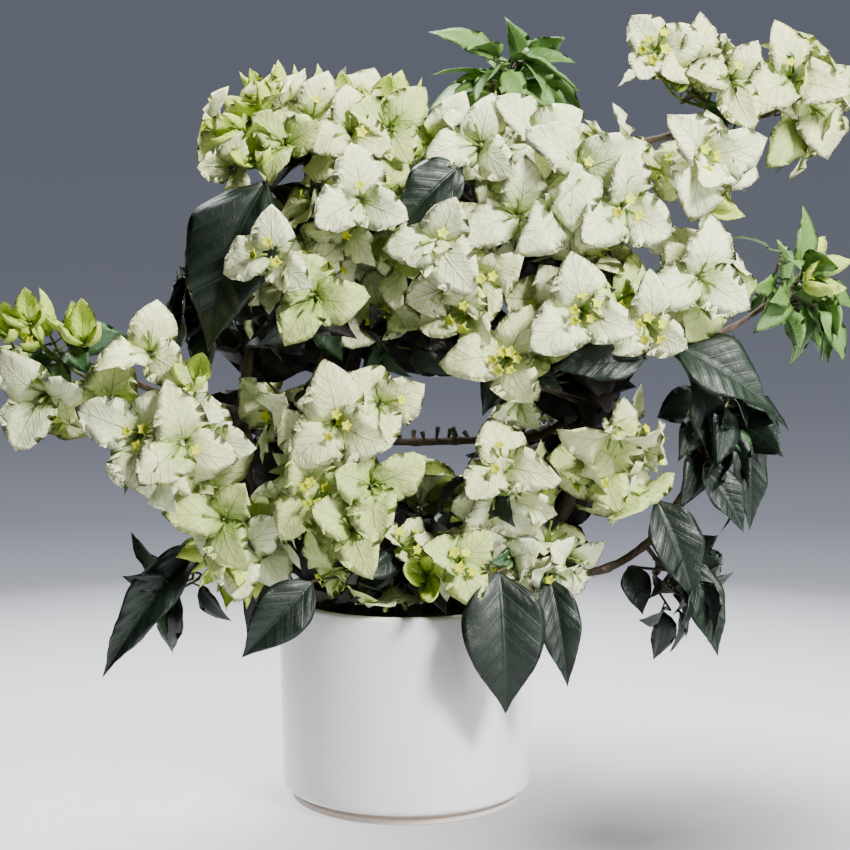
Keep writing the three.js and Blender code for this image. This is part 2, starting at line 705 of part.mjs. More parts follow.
addNode("pot", potSolid(), COLOURS.glaze, 0.25);
addNode("soil", soilSolid(), COLOURS.soil, 0.95);
for (const [name, body] of Object.entries(limbBodies))
  addNode(name, geometryOf(body), COLOURS.bark, 0.85);
for (const mass of masses) {
  const body = wholeOf(wasm.Manifold.union(mass.pieces));
  const bracts = mass.young < 0.5 ? COLOURS.cream : COLOURS.young;
  const colour = mass.blossoms > mass.leafy ? bracts : COLOURS.leaf;
  addNode(mass.name, geometryOf(body), colour, 0.6);
}

export default plant;
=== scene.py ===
"""A bougainvillea trained as a ring in a white glazed pot: every surface of it that shows.

The plant grows here by the rule of its CAD source, from the same limbs, masses and random numbers, and is
carried on to finer twigs, florets and leaves. Its sizes are millimetres, as they are there, and MM takes
them to metres where a mesh is made. The front of the plant faces -Y.
"""

import json
import math

import bmesh
import bpy
import numpy as np
from mathutils import Matrix, Vector, noise

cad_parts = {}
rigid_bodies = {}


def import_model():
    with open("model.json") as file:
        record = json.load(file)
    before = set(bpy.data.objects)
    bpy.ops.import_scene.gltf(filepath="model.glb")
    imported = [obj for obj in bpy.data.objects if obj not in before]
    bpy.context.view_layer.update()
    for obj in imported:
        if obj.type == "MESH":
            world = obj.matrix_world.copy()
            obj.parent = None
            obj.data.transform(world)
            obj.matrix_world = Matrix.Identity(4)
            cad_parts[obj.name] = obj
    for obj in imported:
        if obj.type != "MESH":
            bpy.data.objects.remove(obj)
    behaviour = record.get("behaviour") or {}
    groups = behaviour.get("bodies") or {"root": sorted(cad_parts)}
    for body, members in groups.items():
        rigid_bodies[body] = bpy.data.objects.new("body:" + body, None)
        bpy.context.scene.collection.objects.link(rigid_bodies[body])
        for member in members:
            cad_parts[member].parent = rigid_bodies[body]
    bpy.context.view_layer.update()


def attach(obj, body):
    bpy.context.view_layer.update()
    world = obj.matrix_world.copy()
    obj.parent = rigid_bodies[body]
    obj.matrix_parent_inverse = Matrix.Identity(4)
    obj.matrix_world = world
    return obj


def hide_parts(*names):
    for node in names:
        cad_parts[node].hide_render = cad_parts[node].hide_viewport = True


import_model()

MM = 0.001

# ---- Driving sizes, in millimetres and degrees ----

POT = {"height": 119, "rim": 73, "foot": 71, "wall": 5, "floor": 9}
FOOT = {"ring": 66, "groove": 64, "ring_height": 3.5, "groove_top": 6, "bevel": 3.5}
SOIL = {"top": 104, "gap": 0.3, "dome": 2, "reach": 64, "loose": 61, "crumbs": 900}
RING = {"x": 5, "z": 225, "half_width": 98, "half_height": 122}  # the hoop that the main boughs follow
FORK = (0, 2, 136)
TWIG = {"radius": 0.95, "knee": 9, "tip": 0.7, "least_turn": 0.12}
BRACT = {"length": 33, "width": 29, "smallest": 0.82, "open": 62, "uneven": 24}
YOUNG = {"size": 0.72, "width": 20, "open": 34}
LEAF = {"length": 56, "width": 31, "smallest": 0.6, "open": 74, "uneven": 30, "hang": 1.1}
HEART_INSET = 20  # from a mass's outline in to the hearts of its stars
SPILL = 10  # a blade may pass the outline of its mass by this much
BORDER_SPILL = 20  # and the border to the next mass by this much
END_SPREAD = -0.35  # cosine of how far round a mass its stars are spread
EVEN_SPREAD = (0.7548776662, 0.569840291)  # steps that scatter the stars evenly, with none in line
MOUTH = {"x": 20, "z": 213, "half_width": 30, "half_height": 26}  # the view through the ring
# Where leaves painted near-black as painted shade, and bare stems, show between the blossoms: centre and half
# size, across and up.
HOLLOWS = [((24, 255), (40, 20)), ((-62, 262), (26, 15)), ((94, 243), (20, 14)), ((-18, 150), (14, 8))]
SKY = [((197, 408), (7, 26))]  # where no blossom grows, so that the sky shows between two masses
OUTWARD = np.array([0.5, 1.3, 0.45])  # how much of each direction from the ring's middle a mass faces
STEM = {"radius": 1.7, "share": 0.7, "apart": 5}
# The further turn, and the share of its size, that a star tries until it fits.
TRIES = [(turn, size) for size in (1, 0.85, 0.7) for turn in (0, 0.7, 1.4)]
# The spots of a blade that stay clear of other blades, as shares of its length and half width. The tip is last.
BLADE_SPOTS = ((0.35, 0.75), (0.35, -0.75), (0.5, 0), (0.75, 0.4), (0.75, -0.4), (1, 0))

# What the growth here adds to the source's: more stars, which may stand closer, and leaves between them.
FULLER = {
    "blossoms": {"dark": 2.6, "mid": 1.4, "fresh": 2},
    "leafy": {"dark": 1.5, "mid": 1.6, "fresh": 1.5},
    "places": 16,
}
# What a star's axis is made of: its way from the middle, its mass's facing and chance.
SIDEWAYS = {"way": 0.9, "facing": 0.55, "lean": 0.8}
# The bracts of a blossom lap over one another by so many degrees, more or less.
CRUMPLE = {"lap": 13, "tilt": 5, "size": 0.13}
ROOM = {"blossom": 4, "leaves": 4, "small": 5}  # between the blades of different stars
LEAF_STAGGER = 7  # along the twig, from one leaf of a star to the next
PETIOLE = 6
# The dark leaves that close the view, painted near-black as painted shade, with their length and their width as
# a share of it. A mass has them up to so far to either side.
SHADE = {
    "mass": {"count": 12, "within": 105, "length": (30, 46), "width": 0.56},
    "bough": {"spacing": 7, "length": (34, 52), "width": 0.6},
    "hollow": {"count": 16, "length": (32, 48), "width": 0.58},
}
STUBS = {"spacing": 6.5, "length": (4, 9), "radii": [0.6, 0.5, 1.5]}  # the stalks of fallen florets
SCARS = {"spacing": 23, "rise": 0.55, "spread": 2.4, "bare": 0.3}  # of old leaves, along a limb
BARK_STEP = 2.2
FRONT = np.array([0, -1, 0])
LOOK_OUT = np.array([0, -1, 0.5])  # the way that the long leaves turn their upper sides
MAIN_BOUGHS = ("left_bough_lower", "left_bough_upper", "right_bough_lower", "right_bough_upper")
BRACT_KINDS, YOUNG_KINDS, LEAF_KINDS, LONG_KINDS = 14, 6, 10, 6  # variants of each blade


def ring_point(degrees, y):
    a = math.radians(degrees)
    return (RING["x"] + RING["half_width"] * math.cos(a), y, RING["z"] + RING["half_height"] * math.sin(a))


# Each limb: its points from root to tip, and its radius at each end.
LIMBS = {
    "trunk": ([(0, 0, 100), (0, 0, 112), (-2, 1, 122), FORK], 6.5, 5),
    "left_bough_lower": ([FORK, ring_point(238, 0), ring_point(208, -3), ring_point(180, -5)], 4.6, 3.4),
    "left_bough_upper": (
        [ring_point(180, -5), ring_point(150, -3), ring_point(122, 0), ring_point(98, 4)],
        3.3,
        2.2,
    ),
    "right_bough_lower": ([FORK, ring_point(305, 4), ring_point(332, 4), ring_point(0, 0)], 4.6, 3.6),
    "right_bough_upper": (
        [ring_point(0, 0), ring_point(28, -2), ring_point(52, -4), ring_point(76, -6)],
        3.4,
        2.4,
    ),
    "cross_bough": ([ring_point(0, 0), (74, -2, 208), (30, 0, 205), (-10, 2, 204), (-48, 0, 207)], 2.4, 1.8),
    "outer_left_stem": ([ring_point(222, -3), (-106, -8, 168), (-117, -9, 215), (-108, -8, 265)], 2.3, 1.7),
    "top_right_limb": (
        [ring_point(60, -5), (92, -14, 366), (130, -18, 374), (172, -22, 384), (198, -20, 389)],
        2.6,
        1.5,
    ),
    "left_limb": ([ring_point(181, -5), (-128, -20, 232), (-160, -26, 246), (-186, -26, 256)], 2.6, 1.6),
    "right_limb": ([ring_point(10, -1), (140, -6, 258), (178, -6, 268), (204, -4, 284)], 2.4, 1.5),
    "lower_right_limb": ([ring_point(318, 4), (104, -26, 135), (134, -32, 152), (156, -32, 184)], 2.8, 1.8),
    "lower_left_limb": ([ring_point(232, -2), (-96, -20, 142), (-112, -28, 152)], 2.2, 1.7),
    "crown_shoot": ([ring_point(70, -5), (54, 4, 368), (55, 8, 396)], 2, 1.5),
}

# Each mass: its limb, its centre, how far it reaches either side of that, the blossoms and leafy ends of the
# source, the share of blossoms that are young, and the tint of its leaves.
MASSES = {
    "top_left_dome": ("left_bough_upper", (-46, -18, 379), (70, 44, 38), 13, 2, 0.6, "dark"),
    "upper_left": ("left_bough_upper", (-60, -48, 298), (42, 38, 40), 7, 2, 0, "dark"),
    "upper_left_top": ("left_bough_upper", (-26, -50, 340), (38, 36, 32), 6, 1, 0, "dark"),
    "upper_middle": ("right_bough_upper", (20, -54, 312), (38, 36, 36), 6, 1, 0.1, "dark"),
    "top_middle": ("right_bough_upper", (34, -28, 368), (46, 38, 34), 8, 1, 0.15, "dark"),
    "top_right": ("top_right_limb", (92, -44, 350), (46, 38, 40), 8, 2, 0, "dark"),
    "right_of_top": ("top_right_limb", (150, -36, 354), (36, 34, 36), 6, 1, 0.2, "dark"),
    "top_right_tip": ("top_right_limb", (160, -20, 408), (44, 32, 30), 8, 1, 0.1, "mid"),
    "top_right_end": ("top_right_limb", (214, -14, 397), (36, 32, 38), 7, 1, 0.3, "mid"),
    "right_middle": ("right_bough_upper", (98, -54, 288), (42, 36, 34), 7, 1, 0, "dark"),
    "right_edge": ("right_limb", (156, -34, 298), (36, 34, 32), 6, 1, 0, "dark"),
    "middle_right": ("right_bough_lower", (58, -44, 248), (34, 32, 38), 5, 1, 0, "dark"),
    "inner_top": ("left_bough_upper", (-6, -26, 274), (46, 32, 34), 4, 3, 0, "dark"),
    "middle_left": ("left_bough_lower", (-44, -52, 226), (42, 38, 36), 7, 1, 0, "dark"),
    "lower_left": ("left_bough_lower", (-44, -50, 176), (40, 36, 32), 5, 1, 0, "dark"),
    "left_shoot": ("left_limb", (-122, -46, 206), (42, 36, 42), 8, 1, 0.1, "mid"),
    "left_shoot_tip": ("left_limb", (-188, -32, 250), (44, 30, 42), 9, 1, 0.6, "mid"),
    "left_side_leaves": ("left_bough_upper", (-104, -30, 292), (36, 36, 46), 0, 4, 0, "dark"),
    "bottom_left": ("left_bough_lower", (-90, -44, 154), (36, 34, 34), 5, 2, 0.4, "dark"),
    "bottom_middle": ("left_bough_lower", (-8, -58, 146), (50, 36, 36), 7, 2, 0.4, "dark"),
    "middle_lower_right": ("right_bough_lower", (46, -50, 190), (38, 36, 34), 6, 1, 0, "dark"),
    "bottom_right": ("right_bough_lower", (72, -48, 148), (36, 34, 30), 3, 3, 0, "dark"),
    "lower_right": ("right_bough_lower", (114, -54, 202), (34, 34, 34), 5, 1, 0, "dark"),
    "right_leaves": ("lower_right_limb", (172, -22, 214), (36, 34, 56), 0, 6, 0, "dark"),
    "right_shoot": ("right_limb", (216, 0, 290), (38, 28, 42), 1, 5, 1, "fresh"),
    "lower_right_leaves": ("lower_right_limb", (148, -30, 132), (36, 30, 46), 0, 4, 0, "dark"),
    "bottom_left_leaves": ("lower_left_limb", (-124, -34, 128), (40, 30, 40), 0, 1, 0, "dark"),
    "crown_shoot_leaves": ("crown_shoot", (56, 6, 408), (46, 30, 31), 0, 5, 0, "fresh"),
    "back_left": ("left_bough_lower", (-74, 46, 186), (48, 40, 50), 4, 3, 0.1, "dark"),
    "back_left_top": ("left_bough_upper", (-66, 42, 300), (48, 40, 50), 4, 3, 0.1, "dark"),
    "back_top": ("right_bough_upper", (24, 40, 352), (50, 40, 38), 4, 2, 0.2, "dark"),
    "back_right_top": ("right_bough_upper", (92, 42, 312), (46, 40, 46), 4, 3, 0.1, "dark"),
    "back_right": ("right_bough_lower", (94, 46, 206), (46, 40, 48), 4, 3, 0.1, "dark"),
    "back_bottom": ("right_bough_lower", (14, 52, 148), (56, 34, 32), 4, 3, 0.2, "dark"),
}

# The longest leaves: mass, base, tip, width.
LONG_LEAVES = [
    ("left_side_leaves", (-74, -60, 354), (-113, -74, 268), 54),
    ("left_side_leaves", (-122, -44, 284), (-134, -52, 248), 20),
    ("upper_middle", (30, -70, 364), (-6, -84, 332), 30),
    ("right_middle", (128, -78, 262), (78, -86, 258), 25),
    ("right_edge", (146, -56, 266), (198, -62, 236), 36),
    ("right_leaves", (160, -34, 242), (170, -46, 200), 22),
    ("right_leaves", (184, -22, 218), (196, -32, 160), 22),
    ("right_leaves", (164, -38, 196), (188, -50, 164), 22),
    ("right_leaves", (182, -12, 234), (198, -16, 200), 16),
    ("lower_right_leaves", (137, -46, 180), (159, -58, 124), 30),
    ("lower_right_leaves", (156, -30, 144), (176, -40, 90), 24),
    ("lower_right_leaves", (124, -34, 140), (132, -42, 114), 18),
    ("bottom_right", (50, -76, 146), (54, -92, 70), 46),
    ("bottom_right", (78, -62, 140), (88, -78, 82), 24),
    ("bottom_left_leaves", (-112, -32, 154), (-173, -45, 80), 26),
    ("bottom_middle", (-50, -74, 140), (-88, -86, 100), 30),
    ("left_shoot_tip", (-190, -28, 240), (-210, -38, 222), 18),
    ("right_shoot", (230, -8, 280), (246, -14, 252), 16),
    ("crown_shoot_leaves", (50, 8, 418), (16, 0, 438), 17),
    ("crown_shoot_leaves", (62, 8, 418), (94, 2, 420), 15),
    ("crown_shoot_leaves", (62, -6, 404), (86, -14, 392), 17),
]

# The blossoms that show most from the front: mass, heart, how far it looks to the right and up, the turn of
# its first bract, the length of its bracts, its colour, and how many of its florets are open.
FRONT_BLOSSOMS = [
    ("top_left_dome", (-92, -44, 361), (-0.5, 0.1), 180, 22, "cream", 0),
    ("top_left_dome", (-78, -48, 366), (-0.1, 0.4), 90, 26, "young", 0),
    ("top_left_dome", (-50, -42, 386), (-0.1, 0.5), 70, 26, "cream", 1),
    ("top_left_dome", (-33, -26, 394), (0, 0.9), 100, 22, "young", 0),
    ("top_left_dome", (-15, -30, 392), (0.2, 0.9), 60, 22, "young", 0),
    ("top_left_dome", (-29, -52, 380), (0, 0.3), -30, 26, "cream", 1),
    ("top_left_dome", (-9, -48, 383), (0.3, 0.4), 40, 25, "green", 0),
    ("top_left_dome", (-64, -52, 374), (-0.3, 0.3), 20, 25, "green", 0),
    ("upper_left_top", (-23, -76, 346), (0, 0.2), 95, 30, "white", 1),
    ("upper_left", (-48, -77, 295), (-0.1, 0), -5, 32, "green", 0),
    ("upper_left", (-69, -80, 318), (-0.4, 0.1), 80, 26, "white", 3),
    ("upper_middle", (17, -76, 323), (0, 0.1), 64, 31, "white", 1),
    ("upper_middle", (40, -72, 306), (0.1, -0.2), -90, 30, "cream", 3),
    ("upper_middle", (60, -70, 337), (0, 0.2), 200, 31, "white", 0),
    ("top_middle", (40, -62, 374), (-0.3, 0.4), 75, 29, "white", 0),
    ("top_middle", (70, -58, 376), (0.1, 0.5), 20, 30, "white", 0),
    ("top_right", (92, -72, 361), (0, 0.3), 20, 34, "white", 1),
    ("top_right", (82, -73, 342), (0.4, -0.4), 90, 32, "white", 0),
    ("top_right", (115, -72, 342), (0.2, 0), -30, 32, "white", 3),
    ("right_of_top", (157, -56, 369), (0.3, 0), 15, 34, "white", 3),
    ("top_right_tip", (135, -38, 423), (-0.2, 0.3), 130, 25, "white", 5),
    ("top_right_tip", (175, -40, 408), (0.1, 0.1), 49, 27, "cream", 1),
    ("top_right_tip", (156, -36, 416), (0, 0.3), 80, 25, "cream", 0),
    ("top_right_end", (209, -32, 408), (-0.1, 0.3), 99, 30, "cream", 1),
    ("top_right_end", (220, -26, 396), (0.4, -0.2), 46, 30, "cream", 0),
    ("right_middle", (93, -80, 288), (0, 0.1), 100, 32, "white", 5),
    ("right_middle", (128, -77, 281), (0.1, -0.2), 90, 30, "white", 5),
    ("right_edge", (157, -66, 304), (0.2, 0.2), 80, 34, "white", 0),
    ("inner_top", (34, -68, 286), (-0.45, -0.2), 75, 27, "cream", 3),
    ("middle_right", (54, -72, 262), (-0.1, 0), 180, 31, "cream", 6),
    ("middle_left", (-36, -78, 228), (0, 0), -20, 34, "cream", 3),
    ("middle_left", (-14, -68, 236), (0.3, 0.2), 22, 30, "cream", 1),
    ("middle_left", (-49, -74, 190), (0, 0.1), -130, 31, "green", 5),
    ("lower_left", (-18, -74, 193), (0.2, 0), 30, 31, "green", 0),
    ("bottom_middle", (-28, -78, 170), (0.1, 0.4), 160, 28, "green", 0),
    ("bottom_middle", (29, -75, 150), (0.2, 0.3), 40, 25, "green", 4),
    ("bottom_middle", (12, -70, 142), (-0.1, 0.3), 170, 26, "young", 0),
    ("middle_lower_right", (53, -76, 202), (0, 0.5), 100, 31, "cream", 2),
    ("lower_right", (112, -73, 221), (0.1, -0.9), 38, 34, "cream", 0),
    ("bottom_left", (-98, -66, 172), (-0.2, 0.2), 170, 30, "green", 0),
    ("left_shoot", (-137, -62, 262), (-0.1, 0.5), 85, 29, "cream", 0),
    ("left_shoot", (-142, -70, 220), (-0.2, 0.1), 160, 35, "white", 3),
    ("left_shoot", (-119, -74, 216), (0.1, 0), -20, 32, "cream", 1),
    ("left_shoot", (-113, -72, 247), (0, 0.8), 60, 24, "young", 0),
    ("left_shoot_tip", (-175, -48, 266), (0, 1.1), 90, 27, "young", 0),
    ("left_shoot_tip", (-205, -42, 276), (-0.1, 1.2), 97, 23, "young", 0),
    ("left_shoot_tip", (-217, -36, 268), (-0.3, 1.1), 80, 23, "young", 0),
    ("left_shoot_tip", (-196, -46, 238), (-0.5, -0.2), -110, 32, "white", 0),
    ("left_shoot_tip", (-160, -56, 236), (-0.2, 0), 190, 32, "green", 0),
]

# ---- Small vector helpers ----

UP = np.array([0.0, 0.0, 1.0])


def unit(v):
    return v / np.linalg.norm(v)


def square_to(direction):
    """Two directions square to a given one."""
    aid = UP if abs(direction[2]) < 0.9 else np.array([1.0, 0.0, 0.0])
    u = unit(np.cross(aid, direction))
    return u, np.cross(direction, u)


def random_stream(seed):
    """The source's own random numbers, so that the same stars grow."""
    state = seed

    def draw():
        nonlocal state
        state = (state + 0x6D2B79F5) & 0xFFFFFFFF
        t = state
        t = ((t ^ (t >> 15)) * (t | 1)) & 0xFFFFFFFF
        t ^= (t + (((t ^ (t >> 7)) * (t | 61)) & 0xFFFFFFFF)) & 0xFFFFFFFF
        return ((t ^ (t >> 14)) & 0xFFFFFFFF) / 4294967296

    return draw


def smooth_path(points, steps_each=24):
    """A centripetal Catmull-Rom curve through the points, as many short steps."""
    p = [np.array(q, float) for q in points]
    p = [2 * p[0] - p[1], *p, 2 * p[-1] - p[-2]]
    made = []
    for i in range(1, len(p) - 2):
        dt = [max(np.linalg.norm(p[k + 1] - p[k]) ** 0.5, 1e-4) for k in (i - 1, i, i + 1)]
        a, b, c, d = p[i - 1 : i + 3]
        m1 = (b - a) / dt[0] - (c - a) / (dt[0] + dt[1]) + (c - b) / dt[1]
        m2 = (c - b) / dt[1] - (d - b) / (dt[1] + dt[2]) + (d - c) / dt[2]
        m1, m2 = m1 * dt[1], m2 * dt[1]
        for t in np.linspace(0, 1, steps_each, endpoint=False):
            h = ((2 * t - 3) * t * t + 1, t * (t - 1) ** 2, (3 - 2 * t) * t * t, t * t * (t - 1))
            made.append(h[0] * b + h[1] * m1 + h[2] * c + h[3] * m2)
    made.append(p[-2])
    return np.array(made)


def even_points(path, spacing):
    """Points along a path at an even spacing, with their distance from its start."""
    along = np.concatenate([[0], np.cumsum(np.linalg.norm(np.diff(path, axis=0), axis=1))])
    at = np.linspace(0, along[-1], max(2, round(along[-1] / spacing) + 1))
    return np.stack([np.interp(at, along, path[:, k]) for k in range(3)], 1), at


# ---- Materials ----


class Varying:
    """A number that varies over a surface: arithmetic on it adds Math nodes."""

    def __init__(self, finish, socket):
        self.finish = finish
        self.socket = socket

    def math(self, operation, *values):
        made = self.finish.node("ShaderNodeMath", {"operation": operation}, dict(enumerate(values)))
        return Varying(self.finish, made.outputs[0])

    def __add__(self, other):
        return self.math("ADD", self, other)

    def __sub__(self, other):
        return self.math("SUBTRACT", self, other)

    def __rsub__(self, other):
        return self.math("SUBTRACT", other, self)

    def __mul__(self, other):
        return self.math("MULTIPLY", self, other)

    def __truediv__(self, other):
        return self.math("DIVIDE", self, other)

    __radd__ = __add__

    def size(self):
        return self.math("ABSOLUTE", self)

    def line(self, half_width):
        """1 where the value is 0, fading to 0 at a distance of half_width."""
        return self.math("MAXIMUM", 1 - self.size() / half_width, 0.0)

    def repeat(self):
        """The distance to the nearest whole number, from 0 to 0.5."""
        return (self.math("FRACT", self) - 0.5).size() * -1 + 0.5

    def most(self, other):
        return self.math("MAXIMUM", self, other)

    def kept(self):
        return self.math("MINIMUM", self.math("MAXIMUM", self, 0.0), 1.0)


class Finish:
    """The nodes of one material."""

    def __init__(self, name):
        self.material = bpy.data.materials.new(name)
        self.material.use_nodes = True
        self.tree = self.material.node_tree
        self.tree.nodes.clear()
        self.shader = self.node("ShaderNodeBsdfPrincipled")
        output = self.node("ShaderNodeOutputMaterial")
        self.tree.links.new(self.shader.outputs[0], output.inputs["Surface"])

    def node(self, kind, settings=None, inputs=None):
        """A node: its settings first, then the values or links of its sockets."""
        made = self.tree.nodes.new(kind)
        for name, value in (settings or {}).items():
            setattr(made, name, value)
        for name, value in (inputs or {}).items():
            if isinstance(value, Varying):
                self.tree.links.new(value.socket, made.inputs[name])
            else:
                made.inputs[name].default_value = value
        return made

    def set(self, **values):
        """Sets or links the shader's sockets: base_color sets Base Color."""
        for name, value in values.items():
            socket = self.shader.inputs[name.replace("_", " ").title().replace("Ior", "IOR")]
            if isinstance(value, Varying):
                self.tree.links.new(value.socket, socket)
            else:
                socket.default_value = value

    def place(self):
        return Varying(self, self.node("ShaderNodeTexCoord").outputs["Object"])

    def noise(self, scale, detail, roughness=0.5, vector=None):
        inputs = {"Scale": scale, "Detail": detail, "Roughness": roughness, "Vector": vector or self.place()}
        return Varying(self, self.node("ShaderNodeTexNoise", None, inputs).outputs["Fac"])

    def cells(self, scale, vector, feature="F1"):
        settings = {"feature": feature}
        made = self.node("ShaderNodeTexVoronoi", settings, {"Scale": scale, "Vector": vector})
        return Varying(self, made.outputs["Distance"])

    def attribute(self, name):
        made = self.node("ShaderNodeAttribute", {"attribute_name": name})
        return Varying(self, made.outputs["Fac"])

    def mix(self, factor, a, b):
        """A colour between two, which are colours or links."""
        inputs = {0: factor, 6: a, 7: b}
        return Varying(self, self.node("ShaderNodeMix", {"data_type": "RGBA"}, inputs).outputs[2])

    def bump(self, height, distance, strength):
        inputs = {"Height": height, "Distance": distance, "Strength": strength}
        self.set(normal=Varying(self, self.node("ShaderNodeBump", None, inputs).outputs[0]))

    def blade(self):
        """How far a point of a blade lies from its midrib and from its base, each from 0 to 1."""
        uv = self.node("ShaderNodeUVMap", {"uv_map": "blade"})
        parts = self.node("ShaderNodeSeparateXYZ", None, {0: Varying(self, uv.outputs[0])})
        across = (Varying(self, parts.outputs[0]) - 0.5).size() * 2
        return across, Varying(self, parts.outputs[1]), Varying(self, uv.outputs[0])


def tint(r, g, b):
    """A colour from screen values of 0 to 255."""
    linear = [((c / 255 + 0.055) / 1.055) ** 2.4 if c > 10 else c / 3295 for c in (r, g, b)]
    return (*linear, 1.0)


def bract_finish(name, body, heart, vein):
    """A papery bract: its body fades to the colour of its heart, under a net of fine veins."""
    finish = Finish(name)
    across, along, uv = finish.blade()
    midrib = across.line(0.05) * (1.15 - along)
    side_veins = ((along - across * 0.5) * 5.5).repeat().line(0.12) * 0.4
    net = finish.cells(9, uv, "DISTANCE_TO_EDGE").line(0.08) * 0.2
    veins = midrib.most(side_veins).most(net).kept()
    mottle = finish.noise(110, 4)
    greener = ((0.48 - along) * 1.7 + (mottle - 0.5) * 0.5 + (finish.attribute("tone") - 0.5) * 0.5).kept()
    colour = finish.mix(greener, body, heart)
    finish.set(base_color=finish.mix(veins * 0.5, colour, vein), roughness=0.5 + mottle * 0.25)
    finish.set(specular_ior_level=0.25)
    finish.bump((1 - veins) * 0.5 + finish.noise(140, 2) * 1.2, 0.0014, 0.9)
    return finish.material


def leaf_finish(name, body, pale, vein, gloss=0.3):
    """A glossy leaf with sunken side veins."""
    finish = Finish(name)
    across, along, uv = finish.blade()
    midrib = across.line(0.04)
    side_veins = ((along - across * 0.3) * 7).repeat().line(0.1) * 0.7
    net = finish.cells(14, uv, "DISTANCE_TO_EDGE").line(0.05) * 0.25
    veins = midrib.most(side_veins).most(net).kept()
    mottle = finish.noise(70, 3)
    paler = ((mottle - 0.45) * 1.2 + (finish.attribute("tone") - 0.5) * 0.7).kept()
    colour = finish.mix(paler, body, pale)
    finish.set(base_color=finish.mix(veins * 0.22, colour, vein))
    finish.set(roughness=gloss + finish.noise(260, 3) * 0.25, coat_weight=0.05, coat_roughness=0.3)
    finish.bump((1 - veins) + finish.noise(420, 2) * 0.3, 0.0006, 0.4)
    return finish.material


def floret_finish(name, body, tip):
    finish = Finish(name)
    mottle = finish.noise(700, 2)
    finish.set(base_color=finish.mix((mottle * 1.4 - 0.2).kept(), body, tip), roughness=0.5 + mottle * 0.1)
    finish.bump(mottle, 0.0003, 0.5)
    return finish.material


def bark_finish(name, dark, pale, scale=1.0):
    """Rough bark with paler corky streaks."""
    finish = Finish(name)
    mapping = finish.node("ShaderNodeMapping", None, {"Vector": finish.place(), "Scale": (1, 1, 0.35)})
    streaks = finish.noise(420 * scale, 5, 0.65, Varying(finish, mapping.outputs[0]))
    patches = finish.noise(60 * scale, 3)
    finish.set(base_color=finish.mix(((streaks + patches) * 1.6 - 1.1).kept(), dark, pale))
    finish.set(roughness=0.6 + streaks * 0.3)
    finish.bump(streaks, 0.0009, 0.9)
    return finish.material


def glaze_finish():
    """White glaze with the faint dips and specks of a fired pot."""
    finish = Finish("white_glaze")
    dips = finish.noise(35, 3)
    specks = finish.cells(260, finish.place()).line(0.12)
    colour = finish.mix(dips, tint(236, 236, 234), tint(229, 229, 228))
    finish.set(base_color=finish.mix(specks * 0.25, colour, tint(205, 202, 196)))
    finish.set(roughness=0.2 + dips * 0.1, coat_weight=0.4, coat_roughness=0.12)
    finish.bump(dips + finish.noise(8, 2) * 2, 0.0006, 0.35)
    return finish.material


def bisque_finish():
    """The bare fired clay of the foot."""
    finish = Finish("bare_clay")
    grain = finish.noise(900, 4, 0.7)
    finish.set(base_color=finish.mix(grain, tint(196, 180, 168), tint(222, 210, 199)))
    finish.set(roughness=0.8 + grain * 0.15)
    finish.bump(grain, 0.0004, 0.8)
    return finish.material


def soil_finish():
    finish = Finish("potting_soil")
    crumbs = finish.noise(300, 6, 0.7)
    fibres = finish.cells(420, finish.place())
    finish.set(base_color=finish.mix((crumbs * 1.5 - 0.3).kept(), tint(24, 17, 13), tint(74, 55, 42)))
    finish.set(roughness=0.85 + crumbs * 0.1)
    finish.bump(crumbs + fibres * 0.4, 0.002, 1.0)
    return finish.material


BRACT_FINISHES = {
    "white": bract_finish("white_bract", tint(234, 240, 191), tint(182, 202, 124), tint(106, 128, 66)),
    "cream": bract_finish("cream_bract", tint(226, 231, 172), tint(168, 190, 102), tint(96, 122, 54)),
    "green": bract_finish("green_bract", tint(198, 212, 130), tint(142, 172, 74), tint(78, 110, 40)),
    "young": bract_finish("young_bract", tint(196, 216, 96), tint(146, 182, 54), tint(84, 122, 34)),
}
LEAF_FINISHES = {
    "dark": leaf_finish("dark_leaf", tint(12, 27, 17), tint(25, 46, 28), tint(54, 78, 52), 0.36),
    "mid": leaf_finish("mid_leaf", tint(44, 80, 44), tint(76, 114, 62), tint(120, 150, 96)),
    "fresh": leaf_finish("fresh_leaf", tint(82, 120, 54), tint(122, 160, 74), tint(160, 188, 116), 0.38),
    # The last finish is the leaf finish painted near-black maroon: painted shade, for the leaves deep inside
    # the crown.
    "shaded": leaf_finish("shaded_leaf", tint(19, 9, 8), tint(26, 17, 13), tint(40, 28, 22), 0.55),
}

# ---- Blades: bracts and leaves ----


def blade_grid(rows, columns):
    """A closed thin blade: t runs from its base to its tip, s across it. side is 1 on the upper face, -1 on
    the lower one and 0 on the rim, which they share."""
    t, s, side, index = [], [], [], {}
    for face in (1, -1):
        for i in range(rows):
            for j in range(columns + 1):
                rim = i == 0 or j in (0, columns)
                if rim and face < 0:
                    index[face, i, j] = index[1, i, j]
                    continue
                index[face, i, j] = len(t)
                t.append(i / rows)
                s.append(2 * j / columns - 1)
                side.append(0 if rim else face)
    tip = len(t)
    t.append(1.0)
    s.append(0.0)
    side.append(0)
    faces, under = [], []
    for face in (1, -1):
        for i in range(rows):
            for j in range(columns):
                a, b = index[face, i, j], index[face, i, j + 1]
                if i < rows - 1:
                    loop = [a, index[face, i + 1, j], index[face, i + 1, j + 1], b]
                else:
                    loop = [a, tip, b]
                faces.append(loop[::-1] if face > 0 else loop)
                under.append(face < 0)
    return np.array(t), np.array(s), np.array(side), faces, under


def outline(stations, t):
    """Half the width of a blade, from 0 to 1, at each t: a smooth line through the stations."""
    at, width = np.array(stations).T
    path = smooth_path([(x, y, 0) for x, y in zip(at, width)], 12)
    return np.interp(t, path[:, 0], np.maximum(path[:, 1], 0))


